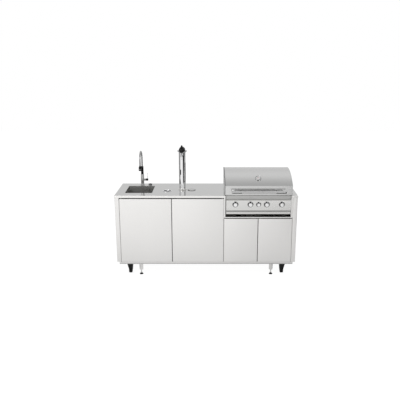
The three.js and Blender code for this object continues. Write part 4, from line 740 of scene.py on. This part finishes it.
def build_handle():
    y, z = -57.0, 54.5
    Form().lathe([(0, 278), (11.4, 278), (13, 280), (13, 865), (11.4, 867), (0, 867)], (0, y, z), RIGHT).done(
        "hood_handle_bar", handle_steel, "chrome", "hood", ["hood_handle"])
    # A near-black strip over the bar's underside between the sleeves: painted shade under the bar.
    Form().prism(arc(y, z, 13.5, 205, 345, 18) + arc(y, z, 12.6, 345, 205, 18), "X", 389, 758).done(
        "hood_handle_under_shade", dark_shade_steel, "chrome", "hood")
    posts, feet, sleeves, end_shades = Form(), Form(), Form(), Form()
    for middle, post in ((309, 295), (836, 850)):
        posts.prism(rounded(post - 16, post + 16, z - 11, z + 11, 10.9, 8), "Y", y + 2, -0.6)
        feet.prism(rounded(middle - 31, middle + 31, z - 12, z + 12, 11.9, 8), "Y", -3.4, -0.4)
    posts.done("hood_handle_posts", knob_steel, "chrome", "hood", bevel=1)
    feet.done("hood_handle_feet", grill_steel, "chrome", "hood", bevel=1)
    low, back = z - 2.2, y + 2.2
    end = (0, back, low)
    under = arc(back, low, 15.4, 190, 345, 18) + arc(back, low, 14, 345, 190, 18)
    # Black strips under the sleeves' ends: painted shade under the bar's ends.
    for a, b, pad in ((278, 368, (286, 388)), (777, 867, (759, 853))):
        sleeves.lathe([(13, a), (15, a + 1.5), (15, b - 1.5), (13, b)], end, RIGHT)
        end_shades.prism(under, "X", *pad)
    sleeves.done("hood_handle_sleeves", tower_chrome, "chrome", "hood")
    # The caps differ, the left in near-black steel and the right in black plastic: painted shade at the bar's
    # ends.
    Form().lathe([(0, 277.8), (13.4, 277.8), (15.3, 279.2), (15.3, 282.6), (13.4, 284), (0, 284)], end,
                 RIGHT).done(
        "hood_handle_cap_left", dark_shade_steel, "chrome", "hood")
    Form().lathe([(13.4, 853), (15.4, 854.4), (15.4, 866), (13.6, 867.3), (0, 867.3)], end, RIGHT).done(
        "hood_handle_cap_right", black_gloss, "black_plastic", "hood")
    end_shades.done("hood_handle_pads", black_rubber, "rubber", "hood", bevel=0.3)


def build_thermometer():
    t = 0.29
    p0, p1, p2 = Vector(CREASE), Vector(CURVE_PULL), Vector(HOOD_TOP)
    spot = (1 - t) ** 2 * p0 + 2 * t * (1 - t) * p1 + t * t * p2
    along = ((1 - t) * (p1 - p0) + t * (p2 - p1)).normalized()
    point = Vector((GRILL_X, spot.x, spot.y))
    normal, up = Vector((0, -along.y, along.x)), Vector((0, along.x, along.y))
    Form().lathe([(0, -34), (2.6, -34), (3, -33), (3, 0.6), (33, 0.6), (34, 1.8), (34, 8), (33, 10.6),
                  (31.6, 12), (30.4, 12), (29, 10.6), (28.6, 8.2), (0, 8.2)], point, normal, 64).done(
        "thermometer_bezel", gauge_steel, "dial", "hood", ["thermometer"])
    Form().lathe([(0, 8.9), (28.4, 8.9), (28.4, 8.3), (0, 8.3)], point, normal, 64).done(
        "thermometer_dial", dial_face, "dial", "hood")

    def stroke(form, angle, inner, outer, width, low, high):
        """A straight mark on the dial, on a ray at an angle from its top."""
        out = up * cos(angle) + Vector(RIGHT) * sin(angle)
        across = normal.cross(out)
        base = [out * inner - across * width, out * inner + across * width,
                out * outer + across * width, out * outer - across * width]
        for ring in form.loft([[point + p + normal * h for p in base] for h in (low, high)]):
            form.face(ring)

    ticks, needle = Form(), Form()
    for i in range(31):
        inner, width = (23, 0.35) if i % 5 else (20.5, 0.7)
        stroke(ticks, radians(-135 + 9 * i), inner, 26, width, 8.85, 9.15)
    ticks.done("thermometer_ticks", dial_ink, "dial", "hood", merge=False)
    stroke(needle, radians(-128), -6, 20, 0.8, 9.3, 9.8)
    needle.lathe([(0, 9), (2.8, 9), (2.8, 10.2), (1.6, 10.8), (0, 10.8)], point, normal, 24)
    needle.done("thermometer_needle", dial_red, "dial", "hood", merge=False)


# each knob's X, and its size as a share of a burner knob's
KNOBS = {"burner_knob_1": (319.394, 1), "burner_knob_2": (483.418, 1), "igniter_knob": (572.5, 0.86),
         "burner_knob_3": (661.582, 1), "burner_knob_4": (825.606, 1)}


def build_panel():
    path = [(5.7, -45), (-19, -45), *arc(-19, -48, 3, 90, 180, 4)[1:], (PANEL_Y, -157), (-21, -158),
            (5.7, -158)]
    Form().sheet(path, "X", 219, 926, path).done(
        "control_panel_box", panel_steel, "brushed_steel", replaces=["control_panel"], bevel=0.8, solid=2,
        sharp=25, before=turned(1, (GRILL_X, 0, -100)))
    bezels, base_shades, screws = Form(), Form(), Form()
    for x, share in KNOBS.values():
        r = 32.5 * share
        bezels.lathe([(r - 8, 0.1), (r, 0.1), (r, 0.8), (r - 0.5, 1.4), (r - 6.2, 4.9), (r - 7.4, 5),
                      (r - 8, 4.4)], (x, PANEL_Y, KNOB_Z), FRONT, 56, closed=True)
        # A near-black disc under each knob: painted shade round the knob's base.
        base_shades.lathe([(0, 0.15), (r - 8.2, 0.15), (r - 8.2, 0.5), (0, 0.5)], (x, PANEL_Y, KNOB_Z), FRONT, 40)
    bezels.done("knob_bezels", bezel_shade_steel, "brushed_steel", sharp=12)
    base_shades.done("knob_wells", gap_shade_black, "black_plastic")
    for x in (232, 913):
        for z in (-62, -142):
            screws.lathe([(0, 0), (4, 0), (4, 0.8), (3, 1.8), (1.8, 2.2), (1.5, 1.2), (0, 1.2)],
                         (x, PANEL_Y, z), FRONT, 20)
    screws.done("control_panel_screws", zinc, "chrome")


def build_knobs():
    for name, (x, share) in KNOBS.items():
        r, middle = 22 * share, (x, PANEL_Y, KNOB_Z)
        # The grip is near-black steel round the bright face, a darker copy of the face's steel: painted
        # shade.
        grip = Form().lathe([(0, 1), (r - 0.8, 1), (r, 1.8), (r, 5.2), (r - 0.8, 6.2), (r - 3, 7.4),
                             (r - 3.2, 9.4), (r - 4.2, 27.6), (r - 5.2, 29.4), (r - 7, 30), (r - 8.4, 29.7),
                             (0, 29.2)], middle, FRONT, 56)
        for a in turns(24):
            grip.lathe([(0, 9.6), (0.75, 10.2), (0.75, 25.2), (0, 25.8)],
                       (x + (r - 3.6) * cos(a), PANEL_Y, KNOB_Z + (r - 3.6) * sin(a)), FRONT, 8)
        grip.done(f"{name}_grip", dark_shade_steel, "chrome", name, [name], merge=False)
        Form().lathe([(r - 7.2, 28.4), (r - 2, 28.4), (r - 1.2, 29.2), (r - 2.4, 30.6), (0, 31.6)], middle,
                     FRONT, 56).done(f"{name}_face", knob_steel, "chrome", name)
        Form().prism(rounded(x - 1.9, x + 1.9, KNOB_Z + 2, KNOB_Z + r - 7.5, 1.8, 4), "Y", -54.4, -52.8).done(
            f"{name}_pointer", zinc, "chrome", name, bevel=0.3)


def build_firebox():
    keep("firebox", inner_steel, 0.6)
    for side in ("left", "right"):
        keep(f"cooking_grate_{side}", cast_iron, 1.4)
    for i in range(1, 5):
        keep(f"flame_tent_{i}", inner_steel, 0.5)
    keep("gas_manifold", brass, 0.6)
    keep("igniter_module", black_satin, 1.5)
    keep("drip_tray", panel_steel)
    # A darker strip on the drip tray's front under the control panel: painted shadow of the panel's overhang.
    Form().block((219.3, 925.7), (3, 3.8), (-181.2, -160.2)).done(
        "drip_tray_shadow_strip", mid_grey_steel, "brushed_steel", "drip_tray")
    burners = Form()
    for x, share in KNOBS.values():
        if share < 1:
            continue
        for profile in ([(8, 20), (12.2, 20), (13, 21), (13, 482), (11.5, 484), (0, 484)],
                        [(8, 20), (7.8, 60), (0, 60)]):
            burners.lathe(profile, (x, 0, KNOB_Z), BACK, 32)
        for side in (-0.8, 0.8):
            for k in range(30):
                burners.lathe([(1.4, 12.4), (1.4, 13.1), (0.9, 13.1), (0.9, 12.4)],
                              (x, 80 + 12.5 * k, KNOB_Z), (side, 0, 0.6), 8)
    burners.prism(rounded(319.4, 825.6, 444, 464, 3, 3), "Z", -98.5, -85.5)
    burners.done("burner_tubes", inner_steel, "inner_steel", replaces=["burner_set"], bevel=0.5, merge=False)
    rack = Form()
    left, right = GRILL_X - 357.5, GRILL_X + 357.5
    for x in (left, right):
        for y in (388, 472):
            rack.tube([(x, y, 2.7), (x, y, 60), (x, y, 106)], 3, 14)
        rack.tube([(x, 385, 104), (x, 430, 104), (x, 475, 104)], 3, 14)
    for i in range(6):
        rack.tube([(x, 388 + 84 * i / 5, 104.6) for x in (left, GRILL_X, right)], 2.5, 14)
    for x in (GRILL_X - 180, GRILL_X, GRILL_X + 180):
        rack.tube([(x, 386, 101.4), (x, 430, 101.4), (x, 474, 101.4)], 2, 12)
    rack.done("warming_rack_wires", chrome, "chrome", replaces=["warming_rack"], merge=False)


# ---------------- undercarriage


def mirrored(profile):
    """A profile of (radius, height) and its mirror image across height 0."""
    return profile + [(radius, -height) for radius, height in reversed(profile)]


def build_caster(corner, x, y):
    fork, wheel, axle = f"caster_fork_{corner}", f"caster_wheel_{corner}", (x, y + 25, -880)
    keep(fork, black_satin, 1.2, 3)
    race = Form().lathe([(31.2, -804), (32.2, -803), (32.2, -799), (31.2, -797.5)], (x, y, 0))
    race.lathe([(0, -807), (9, -807), (9, -809), (7, -811.5), (0, -812)], (x, y, 0), sides=32)
    race.done(f"caster_race_{corner}", zinc, "caster_plastic", fork)
    hood = Form().prism([(-29, -806.5), *arc(25, -880, 52, 158, 22, 16), (29, -806.5)],
                        "X", x - 18.5, x + 18.5)
    hood.bm.transform(Matrix.Translation((0, y, 0)))
    hood.done(f"caster_hood_{corner}", black_satin, "caster_plastic", fork, bevel=0.8)
    Form().lathe(mirrored([(39, -15.6), (43, -16.8), (46.4, -16.2), (48.8, -13.8), (50, -10), (50, -3),
                           (48.6, -2.4)]), axle, RIGHT, 64, closed=True).done(
        f"caster_tyre_{corner}", black_rubber, "rubber", wheel, [wheel])
    Form().lathe(mirrored([(4.4, -16.4), (11, -16.4), (12.4, -14), (13, -11), (34, -9.5), (37, -13),
                           (39.4, -14.6)]), axle, RIGHT, closed=True).done(
        f"caster_hub_{corner}", black_satin, "caster_plastic", wheel)
    bolt = Form()
    for way in (-1, 1):
        bolt.lathe([(0, 21), (7, 21), (7, 24.4), (6, 25.4), (0, 25.4)], axle, (way, 0, 0), 6)
    bolt.done(f"caster_bolt_{corner}", zinc, "chrome", fork, bevel=0.4)


def build_foot(corner, x, y):
    foot = f"foot_{corner}"
    thread = [(radius, -912 + 2 * turn + rise) for turn in range(43)
              for radius, rise in ((5.4, 0), (6, 0.5), (6, 1), (5.4, 1.5))]
    rod = Form().lathe([(0, -912), *thread, (5, -825), (0, -824.5)], (x, y, 0), sides=24)
    rod.lathe([(0, -912), (10.4, -912), (10.4, -906.6), (9.6, -906), (0, -906)], (x, y, 0), sides=6)
    rod.done(f"foot_rod_{corner}", zinc, "chrome", foot)
    Form().lathe([(0, 0), (20, 0), (21, 0.8), (21, 3.6), (20, 5), (16.8, 7), (13, 9.6), (10.5, 14), (9.2, 18),
                  (0, 18)], (x, y, FLOOR_Z)).done(
        f"foot_pad_{corner}", black_satin, "foot_plastic", foot, [foot])


def build_undercarriage():
    for rear, end in enumerate(("front", "rear")):
        for side, sign in (("left", -1), ("right", 1)):
            build_caster(f"{end}_{side}", sign * CASTER_X, CASTER_YS[rear])
            build_foot(f"{end}_{side}", sign * FOOT_X, FOOT_YS[rear])


# ---------------- stage, light and camera

WHITE = (1, 1, 1, 1)


def seen_by(tree):
    """1 for what the camera sees, and 1 for what is seen in a mirror or through glass."""
    rays = node(tree, "LightPath").outputs
    mirror = node(tree, "Math", rays["Is Glossy Ray"], rays["Is Transmission Ray"], operation="MAXIMUM")
    return rays["Is Camera Ray"], mirror.outputs[0]


def glow(tree, strength, kind="Emission"):
    return node(tree, kind, Color=WHITE, Strength=strength).outputs[0]


def mixed(tree, share, first, second):
    return node(tree, "MixShader", share, first, second).outputs[0]


def product(tree, first, *others):
    for other in others:
        first = node(tree, "Math", first, other, operation="MULTIPLY").outputs[0]
    return first


def build_floor():
    size = 14
    mesh = bpy.data.meshes.new("floor")
    mesh.from_pydata([(u, v, 0) for u, v in rectangle(-size, size, -size, size)], [], [(0, 1, 2, 3)])
    floor = placed("floor", mesh)
    material, tree = new_material("floor_pale")
    camera, mirror = seen_by(tree)
    matt = node(tree, "BsdfDiffuse", Color=(0.8, 0.8, 0.79, 1)).outputs[0]
    thin = node(tree, "BsdfDiffuse", Color=(0.16, 0.16, 0.16, 1)).outputs[0]
    shown = node(tree, "AddShader", thin, glow(tree, 0.93)).outputs[0]
    # what polished steel sees of the floor is a glow: bright far in front, greyer to the object's right, and
    # greyer near the object, a painted shadow of it
    place = node(tree, "SeparateXYZ", node(tree, "TexCoord").outputs["Object"]).outputs
    level = product(tree, ranged(tree, place["Y"], -0.3, -3.2, 0.66, 0.98),
                    ranged(tree, place["Y"], -0.5, -0.95, 0.97, 1, smooth=True),
                    ranged(tree, place["X"], -0.4, 0.9, 1.06, 0.87))
    surface = mixed(tree, mirror, mixed(tree, camera, matt, shown), glow(tree, level))
    node(tree, "OutputMaterial", Surface=surface)
    mesh.materials.append(material)


def build_world():
    world = bpy.data.worlds.new("studio")
    scene.world = world
    world.use_nodes = True
    tree = world.node_tree
    tree.nodes.clear()
    camera, mirror = seen_by(tree)
    view = node(tree, "TexCoord").outputs["Generated"]
    x, y, z = node(tree, "SeparateXYZ", view).outputs
    # behind the object the studio is an even grey, overhead it is dark, and to the sides it is darker too
    around = product(tree, ranged(tree, y, -0.5, 0.3, 1, 0.83, smooth=True),
                     ranged(tree, y, 0.65, 0.97, 1, 0.87, smooth=True))
    overhead = node(tree, "VectorMath", view, (0, -0.25, 0.968), operation="DOT_PRODUCT").outputs["Value"]
    high = ranged(tree, overhead, 0.6, 1, 0, 1)
    above = ranged(tree, product(tree, high, high), 0, 1, 1, 0.52)
    width = node(tree, "Math", x, operation="ABSOLUTE").outputs[0]
    aside = ranged(tree, width, 0.5, 0.95, 1, 0.7, smooth=True)
    ahead = product(tree, ranged(tree, y, -0.2, -0.55, 0, 1, smooth=True),
                    ranged(tree, z, 0.2, 0.45, 0, 1, smooth=True))
    before = ranged(tree, ahead, 0, 1, 1, 0.3)
    level = product(tree, around, above, product(tree, aside, before))
    lit = mixed(tree, mirror, glow(tree, 0.62, "Background"), glow(tree, level, "Background"))
    node(tree, "OutputWorld", Surface=mixed(tree, camera, lit, glow(tree, 1.0, "Background")))


# near and far radius in metres, start and end angle, strength
PATCHES = ((7.2, 8.75, 27, 108, 0), (4.2, 7.2, 24, 75, 0.02), (4, 7.2, 75, 172, 0.13),
           (8.95, 9.6, 38, 100, 0), (4, 9.5, -180, -66, 0.34), (5.6, 6.22, -80, -42, 0),
           (8, 9.3, -60, 26, 0.6), (2.4, 4.2, 54, 84, 0))


def build_patches():
    """Grey patches on the floor round the tower, seen only in reflections: the chrome's stripes."""
    steps = 12
    for index, (near, far, start, end, strength) in enumerate(PATCHES):
        z = 0.004 + 0.002 * index
        ring = [(-0.27 + r * sin(radians(a)), 0.03 - r * cos(radians(a)), z)
                for r, turn in ((near, range(steps + 1)), (far, range(steps, -1, -1)))
                for a in (start + (end - start) * k / steps for k in turn)]
        card = bpy.data.meshes.new(f"patch_{index}")
        card.from_pydata(ring, [], [(k, k + 1, 2 * steps - k, 2 * steps + 1 - k) for k in range(steps)])
        patch = placed(f"patch_{index}", card)
        material, tree = new_material(f"patch_grey_{index}")
        node(tree, "OutputMaterial", Surface=glow(tree, strength))
        card.materials.append(material)
        for flag in ("visible_camera", "visible_diffuse", "visible_shadow", "visible_transmission"):
            setattr(patch, flag, False)


def build_lamps():
    target = Vector((0, 0, 0.7))
    for name, place, width, power in (("key", (-2.6, -3.4, 3.6), 2.4, 60),
                                      ("fill", (3.0, -2.9, 4.0), 1.1, 26)):
        data = bpy.data.lights.new(name, "AREA")
        data.shape = "SQUARE"
        data.size = width
        data.energy = power
        lamp = placed(name, data)
        lamp.location = place
        lamp.rotation_euler = (target - Vector(place)).to_track_quat("-Z", "Y").to_euler()


def build_camera():
    data = bpy.data.cameras.new("camera")
    data.lens = 48.28
    data.sensor_width = 36
    data.shift_x = -0.015
    data.shift_y = 0.0225
    camera = placed("camera", data)
    camera.location = (-0.001, -5.975, 2.277)
    camera.rotation_euler = (radians(90 - 14.74), 0, 0)
    scene.camera = camera


scene.view_settings.view_transform = "Standard"
for build in (build_camera, build_floor, build_world, build_patches, build_lamps, build_counter,
              build_cabinet, build_base, build_doors, build_sink, build_faucet, build_tower, build_rinser,
              build_hood, build_handle, build_thermometer, build_panel, build_knobs, build_firebox,
              build_undercarriage):
    build()
